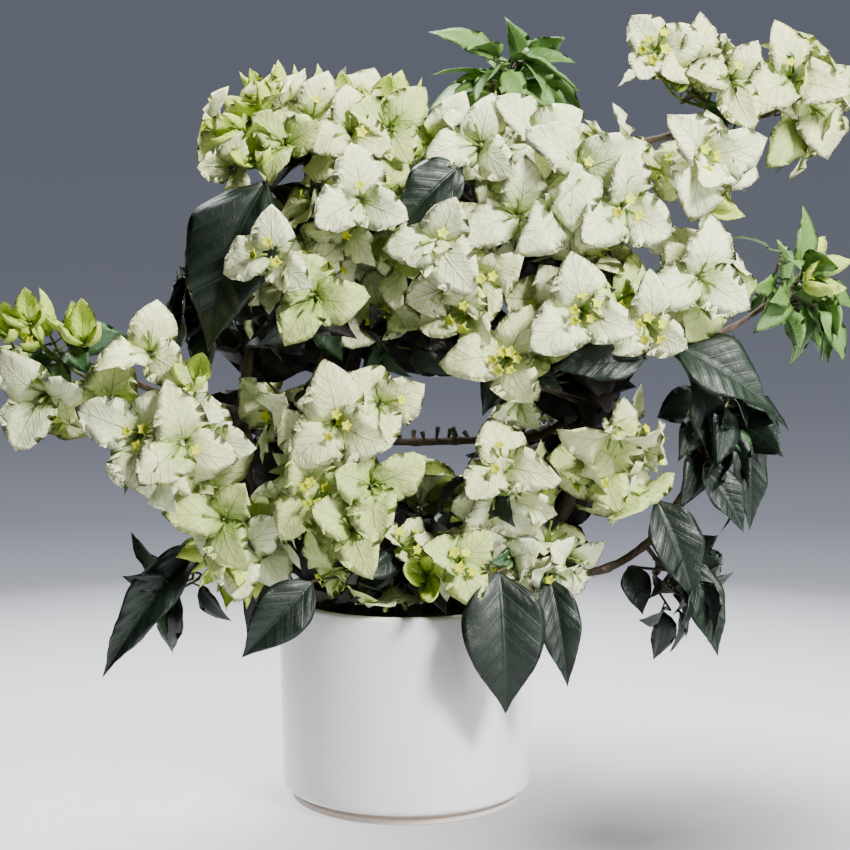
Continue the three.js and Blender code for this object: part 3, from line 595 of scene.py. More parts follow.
# How wide each blade is along its length, both as shares.
BRACT_OUTLINE = [(0, 0.12), (0.05, 0.5), (0.14, 0.84), (0.28, 1), (0.46, 1)]
BRACT_OUTLINE += [(0.63, 0.9), (0.79, 0.64), (0.9, 0.34), (0.96, 0.14), (1, 0)]
YOUNG_OUTLINE = [(0, 0.12), (0.08, 0.45), (0.24, 0.88), (0.42, 1)]
YOUNG_OUTLINE += [(0.62, 0.86), (0.8, 0.5), (0.92, 0.18), (1, 0)]
LEAF_OUTLINE = [(0, 0.04), (0.05, 0.24), (0.16, 0.7), (0.32, 0.98), (0.46, 0.98)]
LEAF_OUTLINE += [(0.64, 0.76), (0.8, 0.42), (0.91, 0.16), (1, 0)]


def edge_waves(t, s, fewest, most, rng):
    """Waves along both edges of a blade, from -1 to 1."""
    turns = rng.uniform(fewest, most) * t + rng.uniform(0, 1)
    return np.sin(2 * math.pi * turns + np.sign(s) * rng.uniform(0, 3))


def bract_height(t, s, width, rng):
    """How far a bract rises over its plane: it stands up at the heart, rolls out at its tip, is creased
    along its midrib, puffed between its side veins and wavy at its edge."""
    y = np.abs(s) * width
    roll = rng.uniform(0.02, 0.4)
    height = rng.uniform(0.06, 0.16) * np.sin(math.pi * np.minimum(t * 1.1, 1)) - roll * t**2.6
    height += rng.uniform(-0.04, 0.22) * y**1.4
    height += 0.02 * np.abs(np.sin(math.pi * (t - 0.5 * y) * 6.5)) * np.sin(math.pi * np.minimum(y * 1.1, 1))
    waves = edge_waves(t, s, 1.6, 3.6, rng)
    height += rng.uniform(0.04, 0.1) * waves * np.abs(s) ** 2.5 * (1 - t**4)
    return height + rng.uniform(-0.14, 0.14) * s * t


def young_height(t, s, width, rng):
    """A young bract is cupped: its edges and its tip turn in."""
    y = np.abs(s) * width
    return 0.2 * y**1.6 + rng.uniform(0.12, 0.2) * t**2.2 - 0.16 * np.sin(math.pi * t)


def leaf_height(t, s, width, rng):
    """A leaf arches, is folded along its midrib and quilted between its side veins."""
    y = np.abs(s) * width
    height = 0.07 * np.sin(math.pi * t**0.8) - rng.uniform(0.05, 0.2) * t**2.4
    height += rng.uniform(0.05, 0.1) * y
    puff = np.abs(np.sin(math.pi * (t - 0.3 * y) * 7)) ** 0.7
    height += 0.026 * puff * np.sin(math.pi * np.minimum(y * 1.15, 1)) ** 0.7 * np.sin(math.pi * t) ** 0.4
    waves = edge_waves(t, s, 2.2, 3.4, rng)
    height += rng.uniform(0.012, 0.03) * waves * np.abs(s) ** 3 * (1 - t**4)
    return height


def blade_mesh(name, grid, stations, height_of, rng, thick):
    """One blade, 1 long and 1 wide, from its base at the origin along X, to be scaled where it grows."""
    t, s, side, faces, under = grid
    width = outline(stations, t)
    bend = rng.uniform(-0.06, 0.06)
    z = height_of(t, s, width, rng) + side * thick
    points = np.stack([t, 0.5 * s * width + bend * t**2, z], 1)
    mesh = bpy.data.meshes.new(name)
    mesh.from_pydata(points.tolist(), [], faces)
    vertex = np.array([v for face in faces for v in face])
    below = np.repeat(np.array(under, float), [len(face) for face in faces])
    flat = np.stack([0.5 + 0.5 * s[vertex] * width[vertex], t[vertex]], 1)
    layer = mesh.uv_layers.new(name="blade")
    layer.data.foreach_set("uv", flat.astype(np.float32).ravel())
    halves = np.stack([(0.04 + 0.92 * flat[:, 0]) / 2 + below / 2, 0.02 + 0.96 * flat[:, 1]], 1)
    layer = mesh.uv_layers.new(name="halves")
    layer.data.foreach_set("uv", halves.astype(np.float32).ravel())
    mesh.polygons.foreach_set("use_smooth", [True] * len(faces))
    return mesh


def kinds_of(name, count, make):
    """A collection of variants, each made from its own random numbers."""
    collection = bpy.data.collections.new(name)
    for i in range(count):
        mesh = make(f"{name}_{i:02d}", np.random.default_rng(100 + i))
        collection.objects.link(bpy.data.objects.new(mesh.name, mesh))
    return collection


# ---- Florets and crumbs ----


def turned_mesh(name, profile, sides):
    """A closed shape turned about Z."""
    points, faces = [], []
    for r, z in profile:
        for j in range(sides):
            a = 2 * math.pi * j / sides
            points.append((r * math.cos(a), r * math.sin(a), z))
    rings = len(profile)
    for i in range(rings - 1):
        for j in range(sides):
            a, b = i * sides + j, i * sides + (j + 1) % sides
            faces.append((a, b, b + sides, a + sides))
    faces.append(tuple(range(sides))[::-1])
    faces.append(tuple((rings - 1) * sides + j for j in range(sides)))
    mesh = bpy.data.meshes.new(name)
    mesh.from_pydata(points, [], faces)
    mesh.polygons.foreach_set("use_smooth", [True] * len(faces))
    return mesh


def tube_mesh(name, rng):
    """A floret's tube, 1 long: waisted above its swollen foot, and a little wider at its mouth."""
    swell = rng.uniform(0.9, 1.1)
    foot = [(0.02, 0), (0.055 * swell, 0.05), (0.085 * swell, 0.18), (0.07, 0.4)]
    mouth = [(0.06, 0.65), (0.085, 0.9), (0.07, 1), (0.02, 1.01)]
    return turned_mesh(name, foot + mouth, 7)


def star_mesh(name, rng):
    """A floret's open face, 1 across: five pointed lobes round a small sunken throat."""
    profile = [(0.1, -0.12), (0.34, 0), (0.5, 0.05), (0.36, 0.09), (0.16, 0)]
    mesh = turned_mesh(name, profile, 10)
    for v in mesh.vertices:
        r = math.hypot(v.co.x, v.co.y)
        between = round(math.atan2(v.co.y, v.co.x) / math.pi * 5) % 2 == 1
        if r > 0.2 and between:
            narrow = 1 - (r - 0.2) * 1.5
            v.co = (v.co.x * narrow, v.co.y * narrow, v.co.z + rng.uniform(-0.03, 0.03))
    return mesh


def crumb_mesh(name, rng):
    """A crumb of soil, 1 across."""
    mesh = bpy.data.meshes.new(name)
    bm = bmesh.new()
    bmesh.ops.create_icosphere(bm, subdivisions=1, radius=0.5)
    for v in bm.verts:
        v.co *= rng.uniform(0.7, 1.2)
    bm.to_mesh(mesh)
    bm.free()
    return mesh


# ---- Geometry Nodes ----


class Rule:
    """A Geometry Nodes tree with named inputs, and the way to run it."""

    def __init__(self, name, inputs):
        self.tree = bpy.data.node_groups.new(name, "GeometryNodeTree")
        sockets = self.tree.interface
        sockets.new_socket("Geometry", in_out="INPUT", socket_type="NodeSocketGeometry")
        self.ids = {
            label: sockets.new_socket(label, in_out="INPUT", socket_type=kind).identifier
            for label, kind in inputs.items()
        }
        sockets.new_socket("Geometry", in_out="OUTPUT", socket_type="NodeSocketGeometry")
        self.start = self.tree.nodes.new("NodeGroupInput")

    def given(self, label):
        return self.start.outputs[label]

    def node(self, kind, settings=None, inputs=None, output=0):
        """Adds a node and gives one of its outputs."""
        made = self.tree.nodes.new(kind)
        for name, value in (settings or {}).items():
            setattr(made, name, value)
        for name, value in (inputs or {}).items():
            if isinstance(value, bpy.types.NodeSocket):
                self.tree.links.new(value, made.inputs[name])
            else:
                made.inputs[name].default_value = value
        return made.outputs[output]

    def named(self, name, kind):
        return self.node("GeometryNodeInputNamedAttribute", {"data_type": kind}, {"Name": name})

    def end(self, geometry):
        """Gives the geometry its material, and ends the tree with it."""
        inputs = {"Geometry": geometry, "Material": self.given("Material")}
        painted = self.node("GeometryNodeSetMaterial", None, inputs)
        output = self.tree.nodes.new("NodeGroupOutput")
        self.tree.links.new(painted, output.inputs[0])

    def run(self, name, source, values):
        """Runs the tree on a mesh and gives the plain mesh object that comes out."""
        carrier = bpy.data.objects.new(name + "_carrier", source)
        bpy.context.scene.collection.objects.link(carrier)
        modifier = carrier.modifiers.new("rule", "NODES")
        modifier.node_group = self.tree
        for label, value in values.items():
            modifier[self.ids[label]] = value
        graph = bpy.context.evaluated_depsgraph_get()
        mesh = bpy.data.meshes.new_from_object(
            carrier.evaluated_get(graph), preserve_all_data_layers=True, depsgraph=graph
        )
        bpy.data.objects.remove(carrier)
        mesh.name = name
        piece = bpy.data.objects.new(name, mesh)
        bpy.context.scene.collection.objects.link(piece)
        return piece


def scatter_rule():
    """One of the kinds stands at each point, turned and sized by the point's own values. Its map for
    painting is a cell of its own in a square of cells."""
    rule = Rule(
        "scatter",
        {
            "Kinds": "NodeSocketCollection",
            "Cells across": "NodeSocketFloat",
            "Material": "NodeSocketMaterial",
        },
    )
    kinds = {"Collection": rule.given("Kinds"), "Separate Children": True, "Reset Children": True}
    instances = rule.node(
        "GeometryNodeInstanceOnPoints",
        None,
        {
            "Points": rule.given("Geometry"),
            "Instance": rule.node("GeometryNodeCollectionInfo", None, kinds),
            "Pick Instance": True,
            "Instance Index": rule.named("kind", "INT"),
            "Rotation": rule.named("turn", "FLOAT_VECTOR"),
            "Scale": rule.named("size", "FLOAT_VECTOR"),
        },
    )
    whole = rule.node("GeometryNodeRealizeInstances", None, {"Geometry": instances})
    add = {0: rule.named("halves", "FLOAT_VECTOR"), 1: rule.named("cell", "FLOAT_VECTOR")}
    moved = rule.node("ShaderNodeVectorMath", {"operation": "ADD"}, add)
    share = rule.node("ShaderNodeMath", {"operation": "DIVIDE"}, {0: 1.0, 1: rule.given("Cells across")})
    fitted = rule.node("ShaderNodeVectorMath", {"operation": "SCALE"}, {0: moved, "Scale": share})
    store = {"Geometry": whole, "Name": "OFBake", "Value": fitted}
    settings = {"data_type": "FLOAT2", "domain": "CORNER"}
    rule.end(rule.node("GeometryNodeStoreNamedAttribute", settings, store))
    return rule


def twig_rule():
    """A round twig along each line, as thick as its points say."""
    rule = Rule(
        "twigs",
        {
            "Step": "NodeSocketFloat",
            "Sides": "NodeSocketInt",
            "Relief": "NodeSocketFloat",
            "Material": "NodeSocketMaterial",
        },
    )
    curve = rule.node("GeometryNodeMeshToCurve", None, {"Mesh": rule.given("Geometry")})
    curve = rule.node("GeometryNodeCurveSplineType", {"spline_type": "CATMULL_ROM"}, {"Curve": curve})
    step = {"Curve": curve, "Length": rule.given("Step")}
    curve = rule.node("GeometryNodeResampleCurve", {"mode": "LENGTH"}, step)
    circle = {"Resolution": rule.given("Sides"), "Radius": 1.0}
    ring = rule.node("GeometryNodeCurvePrimitiveCircle", None, circle)
    inputs = {
        "Curve": curve,
        "Profile Curve": ring,
        "Scale": rule.named("thick", "FLOAT"),
        "Fill Caps": True,
    }
    mesh = rule.node("GeometryNodeCurveToMesh", None, inputs)
    bark = rule.node("ShaderNodeTexNoise", None, {"Scale": 220.0, "Detail": 4.0})
    centred = rule.node("ShaderNodeMath", {"operation": "SUBTRACT"}, {0: bark, 1: 0.5})
    height = rule.node("ShaderNodeMath", {"operation": "MULTIPLY"}, {0: centred, 1: rule.given("Relief")})
    normal = rule.node("GeometryNodeInputNormal")
    offset = rule.node("ShaderNodeVectorMath", {"operation": "SCALE"}, {0: normal, "Scale": height})
    mesh = rule.node("GeometryNodeSetPosition", None, {"Geometry": mesh, "Offset": offset})
    rule.end(rule.node("GeometryNodeSetShadeSmooth", None, {"Geometry": mesh}))
    return rule


SCATTER = scatter_rule()
TWIGS = twig_rule()


def points_mesh(rows):
    """The points that the scatter rule reads: rows of place, rotation matrix, size, kind and tone."""
    mesh = bpy.data.meshes.new("points")
    mesh.from_pydata([tuple(np.array(row[0]) * MM) for row in rows], [], [])
    across = math.ceil(math.sqrt(len(rows)))
    turns = [tuple(Matrix(np.array(row[1]).T.tolist()).to_euler()) for row in rows]
    cells = [(i % across, i // across, 0) for i in range(len(rows))]
    values = {
        "turn": ("FLOAT_VECTOR", "vector", np.array(turns)),
        "size": ("FLOAT_VECTOR", "vector", np.array([row[2] for row in rows]) * MM),
        "kind": ("INT", "value", np.array([row[3] for row in rows])),
        "tone": ("FLOAT", "value", np.array([row[4] for row in rows])),
        "cell": ("FLOAT_VECTOR", "vector", np.array(cells)),
    }
    for name, (kind, field, data) in values.items():
        layer = mesh.attributes.new(name, kind, "POINT")
        layer.data.foreach_set(field, data.ravel().astype(np.int32 if kind == "INT" else np.float32))
    return mesh, float(across)


def lines_mesh(lines):
    """The lines that the twig rule reads: each a list of points and a list of radii."""
    mesh = bpy.data.meshes.new("lines")
    points, edges, thick = [], [], []
    for line, radii in lines:
        start = len(points)
        points += [tuple(np.array(p) * MM) for p in line]
        thick += [r * MM for r in radii]
        edges += [(i, i + 1) for i in range(start, len(points) - 1)]
    mesh.from_pydata(points, edges, [])
    layer = mesh.attributes.new("thick", "FLOAT", "POINT")
    layer.data.foreach_set("value", np.array(thick, np.float32))
    return mesh


def finished(piece, slot, *nodes):
    """Rides a piece on the one body and hides the CAD nodes that it stands for; its slot is not used."""
    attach(piece, "root")
    if nodes:
        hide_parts(*nodes)


def scattered(name, rows, kinds, material, slot, *nodes):
    """One piece: a kind of blade, floret or crumb at each of the rows, without the values that placed it."""
    mesh, across = points_mesh(rows)
    piece = SCATTER.run(name, mesh, {"Kinds": kinds, "Cells across": across, "Material": material})
    for spare in ("turn", "size", "kind", "cell"):
        if spare in piece.data.attributes:
            piece.data.attributes.remove(piece.data.attributes[spare])
    if "halves" in piece.data.uv_layers:
        piece.data.uv_layers.remove(piece.data.uv_layers["halves"])
    finished(piece, slot, *nodes)


# ---- Limbs ----

PATHS = {name: smooth_path(limb[0]) for name, limb in LIMBS.items()}


def limb_lines():
    """Each limb with the swellings of its leaf scars, and the short stubs that old shoots left."""
    rng = np.random.default_rng(7)
    lines = []
    for name, (_, root, tip) in LIMBS.items():
        path, at = even_points(PATHS[name], BARK_STEP)
        share = at / at[-1]
        radius = root + (tip - root) * share
        if name == "trunk":
            radius = radius + 4 * np.exp(-share * 5)
        scars = np.arange(rng.uniform(4, SCARS["spacing"]), at[-1], SCARS["spacing"])
        for scar in scars:
            radius = radius + SCARS["rise"] * np.exp(-(((at - scar) / SCARS["spread"]) ** 2))
            if name == "trunk" or rng.random() < SCARS["bare"]:
                continue
            k = int(np.argmin(np.abs(at - scar)))
            way = unit(rng.normal(size=3) + np.array([0, -0.4, 0.5]))
            length = rng.uniform(3, 8)
            foot = path[k]
            lines.append(([foot, foot + way * length * 0.6, foot + way * length], [1.5, 1.0, 0.7]))
        lines.append((path, radius))
    return lines


# ---- Masses ----


class Mass:
    """One mass of blossom and leaves: its place, the way it faces and the stem that carries it."""

    def __init__(self, index, name, row, roots):
        limb, centre, reach, self.blossoms, self.leafy, self.young, self.tint = row
        self.index, self.name = index, name
        self.middle, self.reach = np.array(centre, float), np.array(reach, float)
        self.facing = unit((self.middle - np.array([RING["x"], 0, RING["z"]])) * OUTWARD)
        self.weight = self.reach.mean()
        points, _ = even_points(PATHS[limb], 4)
        far = np.linalg.norm(points - self.middle, axis=1)
        order = [k for k in np.argsort(far) if k > 0]
        clear = [k for k in order if all(np.linalg.norm(points[k] - r) > STEM["apart"] for r in roots)]
        self.root = points[(clear or order)[0]]
        self.hub = self.root + (self.middle - self.root) * STEM["share"]


def grown_masses():
    made = []
    for index, (name, row) in enumerate(MASSES.items()):
        made.append(Mass(index, name, row, [mass.root for mass in made]))
    return made


masses = grown_masses()
MIDDLES = np.array([mass.middle for mass in masses])
WEIGHTS = np.array([mass.weight for mass in masses])


def room_at(mass, point):
    """How far a point lies inside its mass's space: under 0 it is outside."""
    d = point - mass.middle
    far = math.sqrt(d @ d)
    share = math.sqrt(np.sum((d / mass.reach) ** 2))
    room = (1 - share) * far / max(share, 0.01) + SPILL
    others = np.arange(len(masses)) != mass.index
    apart = np.sqrt(((MIDDLES[others] - mass.middle) ** 2).sum(1))
    theirs = ((MIDDLES[others] - point) ** 2).sum(1) - WEIGHTS[others] ** 2
    return min(room, ((theirs - far**2 + mass.weight**2) / (2 * apart)).min() + BORDER_SPILL)


def in_mouth(point):
    across = (point[0] - MOUTH["x"]) / MOUTH["half_width"]
    up = (point[2] - MOUTH["z"]) / MOUTH["half_height"]
    return across**2 + up**2 < 1


def in_hollow(point):
    for (x, z), (half_width, half_height) in HOLLOWS + SKY:
        if ((point[0] - x) / half_width) ** 2 + ((point[2] - z) / half_height) ** 2 < 1 and point[1] < 10:
            return True
    return False


def in_pot(point):
    return point[2] < POT["height"] + 2 and math.hypot(point[0], point[1]) < POT["rim"] + 2


# ---- The growth rule ----


class Star:
    """Three bracts round a heart, or three leaves, at the end of a twig."""

    def __init__(self, mass, k, flowering):
        draw = random_stream(1000 * (mass.index + 1) + k)
        u, v = square_to(mass.facing)
        c = 1 - ((0.5 + k * EVEN_SPREAD[0]) % 1) * (1 - END_SPREAD)
        s = math.sqrt(1 - c * c)
        a = 2 * math.pi * ((0.5 + k * EVEN_SPREAD[1]) % 1)
        way = mass.facing * c + u * (s * math.cos(a)) + v * (s * math.sin(a))
        inner = np.maximum(mass.reach - HEART_INSET, 6)
        self.end = mass.middle + way * inner * (0.7 + 0.4 * draw())
        self.start = mass.root + (mass.hub - mass.root) * (0.55 + 0.45 * draw())
        lean = np.array([draw() - 0.5, draw() - 0.5, draw() - 0.5])
        self.axis = unit(way * SIDEWAYS["way"] + mass.facing * SIDEWAYS["facing"] + lean * SIDEWAYS["lean"])
        self.young = draw() < mass.young
        full = BRACT["smallest"] + (1 - BRACT["smallest"]) * draw()
        self.size = (YOUNG["size"] if self.young else full) if flowering else 1.0
        self.turn = 2 * math.pi * draw()
        self.flowering = flowering
        self.opened = int(4 * draw())
        self.tone = "young" if self.young else ("white", "cream", "white", "green")[int(4 * draw())]
        if self.tone == "white" and mass.young > 0.5:
            self.tone = "cream"
        self.blades = [self.bract(draw) if flowering else self.leaf(draw) for _ in range(3)]
        self.mass = mass

    def turns_back(self):
        """Whether its twig would have to turn back at its knee."""
        stretch = self.end - self.axis * TWIG["knee"] - self.start
        return unit(stretch) @ self.axis < TWIG["least_turn"]

    def bract(self, draw):
        kind = YOUNG if self.young else BRACT
        open_angle = math.radians(kind["open"] + BRACT["uneven"] * (draw() - 0.5))
        return {"length": BRACT["length"], "width": kind["width"], "open": open_angle, "hang": 0.0}

    def leaf(self, draw):
        size = LEAF["smallest"] + (1 - LEAF["smallest"]) * draw()
        open_angle = math.radians(LEAF["open"] + LEAF["uneven"] * (draw() - 0.5))
        hang = LEAF["hang"] * draw()
        length, width = LEAF["length"] * size, LEAF["width"] * size
        return {"length": length, "width": width, "open": open_angle, "hang": hang}

    def frame(self, i):
        """How one blade lies: its way, the way across it, its upper side, its base and its tip."""
        blade = self.blades[i]
        u, v = square_to(self.axis)
        a = self.turn + 2 * math.pi * i / 3
        radial = u * math.cos(a) + v * math.sin(a)
        splayed = self.axis * math.cos(blade["open"]) + radial * math.sin(blade["open"])
        along = unit(splayed - UP * blade["hang"])
        side = unit(np.cross(self.axis, along))
        base = self.end + radial * 0.8
        if not self.flowering:
            base = base - self.axis * LEAF_STAGGER * i + radial * PETIOLE
        return along, side, np.cross(along, side), base, base + along * blade["length"] * self.size

    def samples(self):
        """A few points of each blade, to keep it clear of the others."""
        points = []
        for i, blade in enumerate(self.blades):
            along, side, _, base, _ = self.frame(i)
            half = blade["width"] * self.size / 2
            length = blade["length"] * self.size
            for t, s in BLADE_SPOTS:
                points.append(base + along * length * t + side * half * s)
        return np.array(points)


class FrontBlossom(Star):
    """A blossom with a place of its own."""

    def __init__(self, row):
        name, heart, (right, up), turn, length, tone, self.opened = row
        self.mass = next(mass for mass in masses if mass.name == name)
        self.end = np.array(heart, float)
        self.start = self.mass.root + (self.mass.hub - self.mass.root) * 0.9
        self.axis = unit(np.array([right, -1, up], float))
        self.turn = math.radians(turn)
        self.tone, self.young = tone, tone == "young"
        self.size = length / BRACT["length"]
        self.flowering = True
        draw = random_stream(len(name) + round(heart[0] + 400))
        self.blades = [self.bract(draw) for _ in range(3)]


def leaf_samples(base, tip, width):
    """A few points of a single leaf, to keep it clear of the others."""
    base, tip = np.array(base, float), np.array(tip, float)
    across = unit(np.cross(tip - base, UP)) * width / 2
    middle = base + (tip - base) * 0.4
    wide = across * 0.8
    return np.array([base, middle, middle + wide, middle - wide, base + (tip - base) * 0.75, tip])


# The samples of all that has grown so far, the long leaves first.
taken = np.concatenate([leaf_samples(base, tip, width) for _, base, tip, width in LONG_LEAVES])


def take(samples, centre, gap):
    """Keeps the samples of a piece if they lie at least this far from all those kept before."""
    global taken
    near = taken[np.abs(taken - centre).max(1) < 75]
    if len(near) and ((near[:, None] - samples[None]) ** 2).sum(2).min() < gap**2:
        return False
    taken = np.concatenate([taken, samples])
    return True


def has_room(star):
    """Keeps a star's samples if it fits: in its own space, clear of the pot, the mouth and other stars."""
    samples = star.samples()
    tips = samples[len(BLADE_SPOTS) - 1 :: len(BLADE_SPOTS)]
    if any(room_at(star.mass, tip) < 0 or in_mouth(tip) for tip in tips):
        return False
    if any(in_pot(point) for point in samples):
        return False
    if star.flowering and any(in_hollow(point) for point in samples):
        return False
    return take(samples, star.end, ROOM["blossom" if star.flowering else "leaves"])


def fitted(star):
    """Tries a star at a few turns and sizes, and leaves it at the first that has room."""
    turn, size = star.turn, star.size
    for more_turn, shrink in TRIES:
        star.turn, star.size = turn + more_turn, size * shrink
        if has_room(star):
            return True
    return False


def grow_stars():
    """Every mass in turn takes its next star, its blossoms first and then its leaves."""
    stars = [FrontBlossom(row) for row in FRONT_BLOSSOMS]
    for star in stars:
        take(star.samples(), star.end, 0)
    state = {mass.name: [sum(row[0] == mass.name for row in FRONT_BLOSSOMS), 0, 0] for mass in masses}
    wanted = {}
    for mass in masses:
        blossoms = round(mass.blossoms * FULLER["blossoms"][mass.tint])
        wanted[mass.name] = (blossoms, math.ceil(mass.leafy * FULLER["leafy"][mass.tint]))
    for _ in range(max(sum(pair) for pair in wanted.values())):
        for mass in masses:
            flowers, leaves, k = state[mass.name]
            most_flowers, most_leaves = wanted[mass.name]
            places = FULLER["places"] * (mass.blossoms + mass.leafy)
            while k < places:
                flowering = flowers < most_flowers and k < places * 0.75
                if not flowering and leaves >= most_leaves:
                    break
                star = Star(mass, k, flowering)
                k += 1
                if not star.turns_back() and fitted(star):
                    stars.append(star)
                    if flowering:
                        flowers += 1
                    else:
                        leaves += 1
                    break
            state[mass.name] = [flowers, leaves, k]
    return stars


# ---- What grows on a star ----

bract_rows = {tone: [] for tone in BRACT_FINISHES}
leaf_rows = {tone: [] for tone in LEAF_FINISHES}
long_rows = []
tube_rows, floret_rows = [], []
green_lines, brown_lines = [], []
rng = np.random.default_rng(20)


def blade_row(base, along, side, face, length, width, kinds):
    """Where one blade grows: its place, its matrix, its size, which of the kinds it is and its tone."""
    return [base, [along, side, face], (length, width, length), int(rng.integers(kinds)), rng.random()]


def dress_blossom(star):
    """Three bracts that lap over one another, round three florets or as many as are open."""
    kinds = YOUNG_KINDS if star.young else BRACT_KINDS
    for i, blade in enumerate(star.blades):
        along, side, face, base, _ = star.frame(i)
        roll = math.radians(CRUMPLE["lap"] + CRUMPLE["tilt"] * rng.normal())
        c, s = math.cos(roll), math.sin(roll)
        side, face = side * c + face * s, face * c - side * s
        uneven = 1 + CRUMPLE["size"] * rng.uniform(-1, 1)
        size = (blade["length"] * star.size * uneven, blade["width"] * star.size * rng.uniform(0.88, 1.12))
        bract_rows[star.tone].append(blade_row(base, along, side, face, *size, kinds))
    for i in range(max(3, star.opened)):
        add_floret(star, 2 * math.pi * i / max(3, star.opened), i < star.opened)


def add_floret(star, turn, opened):
    """A floret's tube leans out of the heart; if it has opened, it ends in a face of five lobes."""
    u, v = square_to(star.axis)
    out = u * math.cos(star.turn + turn) + v * math.sin(star.turn + turn)
    lean = rng.uniform(0.25, 0.6)
    way = unit(star.axis + out * lean + rng.normal(size=3) * 0.08)
    length = (9 if star.young else 14) * rng.uniform(0.8, 1.1)
    foot = star.end + out * 1.2
    u, v = square_to(way)
    tube_rows.append([foot, [u, v, way], (length * 0.8, length * 0.8, length), 0, rng.random()])
    if opened:
        across = rng.uniform(7, 8.4)
        place = foot + way * (length + 0.2)
        floret_rows.append([place, [u, v, way], (across, across, across), 0, rng.random()])


def dress_leaves(star):
    """Three leaves one above the other, each on its own stalk."""
    for i, blade in enumerate(star.blades):
        along, side, face, base, _ = star.frame(i)
        size = (blade["length"] * star.size, blade["width"] * star.size)
        tone = star.mass.tint
        if tone == "dark" and rng.random() < 0.12:
            tone = "mid"
        leaf_rows[tone].append(blade_row(base, along, side, face, *size, LEAF_KINDS))
        node = star.end - star.axis * LEAF_STAGGER * i
        green_lines.append(([node, (node + base) / 2 - UP * 0.4, base + along * 2], [0.7, 0.6, 0.5]))


def add_twig(star):
    """A twig leaves its stem, bends at a knee and comes up to its star along its axis."""
    knee = star.end - star.axis * (TWIG["knee"] + (0 if star.flowering else 2 * LEAF_STAGGER))
    middle = (star.start + knee) / 2 + rng.normal(size=3) * 1.2
    radius = TWIG["radius"]
    lines = green_lines if star.flowering else brown_lines
    lines.append(([star.start, middle, knee, star.end], [radius * 1.25, radius, radius, TWIG["tip"]]))
    if rng.random() < 0.6:
        small_leaf(star, middle)


def small_leaf(star, foot):
    """A twig carries a small leaf of its own half way along."""
    way = unit(rng.normal(size=3) + star.mass.facing * 0.8)
    base = foot + way * 4
    length = rng.uniform(16, 28)
    tip = base + way * length
    if room_at(star.mass, tip) < 0 or in_mouth(tip) or in_pot(tip):
        return
    if not take(leaf_samples(base, tip, length * 0.52), base, ROOM["small"]):
        return
    side = unit(np.cross(way, star.mass.facing + UP * 0.6))
    face = np.cross(side, way)
    tone = star.mass.tint if star.mass.tint != "dark" or rng.random() < 0.7 else "mid"
    leaf_rows[tone].append(blade_row(base, way, -side, face, length, length * 0.52, LEAF_KINDS))
    green_lines.append(([foot, base + way], [0.6, 0.45]))


def add_painted_shade_leaf(foot, base, along, side, length, width):
    """A leaf painted near-black as painted shade, on a twig from its foot."""
    row = blade_row(base, along, -side, np.cross(side, along), length, width, LEAF_KINDS)
    leaf_rows["shaded"].append(row)
    brown_lines.append(([foot, base + along * 2], [0.9, 0.6]))


def add_painted_shade_leaves(mass):
    """Leaves painted near-black as painted shade inside a mass close the view through it. The shoots that stand
    out have none.
    """
    shade = SHADE["mass"]
    for _ in range(shade["count"] if mass.tint == "dark" and abs(mass.hub[0]) < shade["within"] else 0):
        way = unit(rng.normal(size=3) + mass.facing * 0.3)
        base = mass.hub + way * rng.uniform(3, 9)
        along = unit(way + rng.normal(size=3) * 0.4 - UP * 0.2)
        length = rng.uniform(*shade["length"])
        tip = base + along * length
        if room_at(mass, tip) < 4 or in_mouth(tip) or in_mouth(base) or in_pot(tip) or in_pot(base):
            continue
        side = unit(np.cross(along, mass.facing + rng.normal(size=3) * 0.3))
        add_painted_shade_leaf(mass.hub, base, along, side, length, length * shade["width"])


def add_bough_shade(name):
    """Leaves painted near-black as painted shade close behind a main bough."""
    shade = SHADE["bough"]
    path, _ = even_points(PATHS[name], shade["spacing"])
    for foot in path:
        way = unit(rng.normal(size=3) + np.array([0, 0.7, 0]))
        base = foot + way * 5
        length = rng.uniform(*shade["length"])
        tip = base + way * length
        if in_mouth(tip) or in_mouth(base) or in_pot(tip) or in_pot(base):
            continue
        side = unit(np.cross(way, FRONT + rng.normal(size=3) * 0.4))
        add_painted_shade_leaf(foot, base, way, side, length, length * shade["width"])


def add_hollow_shade(centre, half):
    """Leaves painted near-black as painted shade close a hollow between the blossoms, each on a twig from the
    nearest mass.
    """
    shade = SHADE["hollow"]
    for _ in range(shade["count"]):
        across, up = centre + half * rng.uniform(-1, 1, 2)
        spot = np.array([across, rng.uniform(-8, 24), up])
        mass = min(masses, key=lambda mass: np.linalg.norm(mass.hub - spot))
        along = unit(rng.normal(size=3) * np.array([1, 0.3, 1]))
        length = rng.uniform(*shade["length"])
        points = [spot + along * length * share for share in (-0.5, -0.25, 0, 0.25, 0.5)]
        if any(in_mouth(point) or in_pot(point) for point in points):
            continue
        side = unit(np.cross(along, FRONT + rng.normal(size=3) * 0.3))
        add_painted_shade_leaf(mass.hub, points[0], along, side, length, length * shade["width"])


def add_bare_stubs():
    """The stalks of fallen florets stand on the stem across the opening."""
    path, _ = even_points(PATHS["cross_bough"], STUBS["spacing"])
    for foot in path:
        if in_mouth(foot):
            way = unit(UP + rng.normal(size=3) * 0.5)
            length = rng.uniform(*STUBS["length"])
            brown_lines.append(([foot, foot + way * length * 0.6, foot + way * length], STUBS["radii"]))


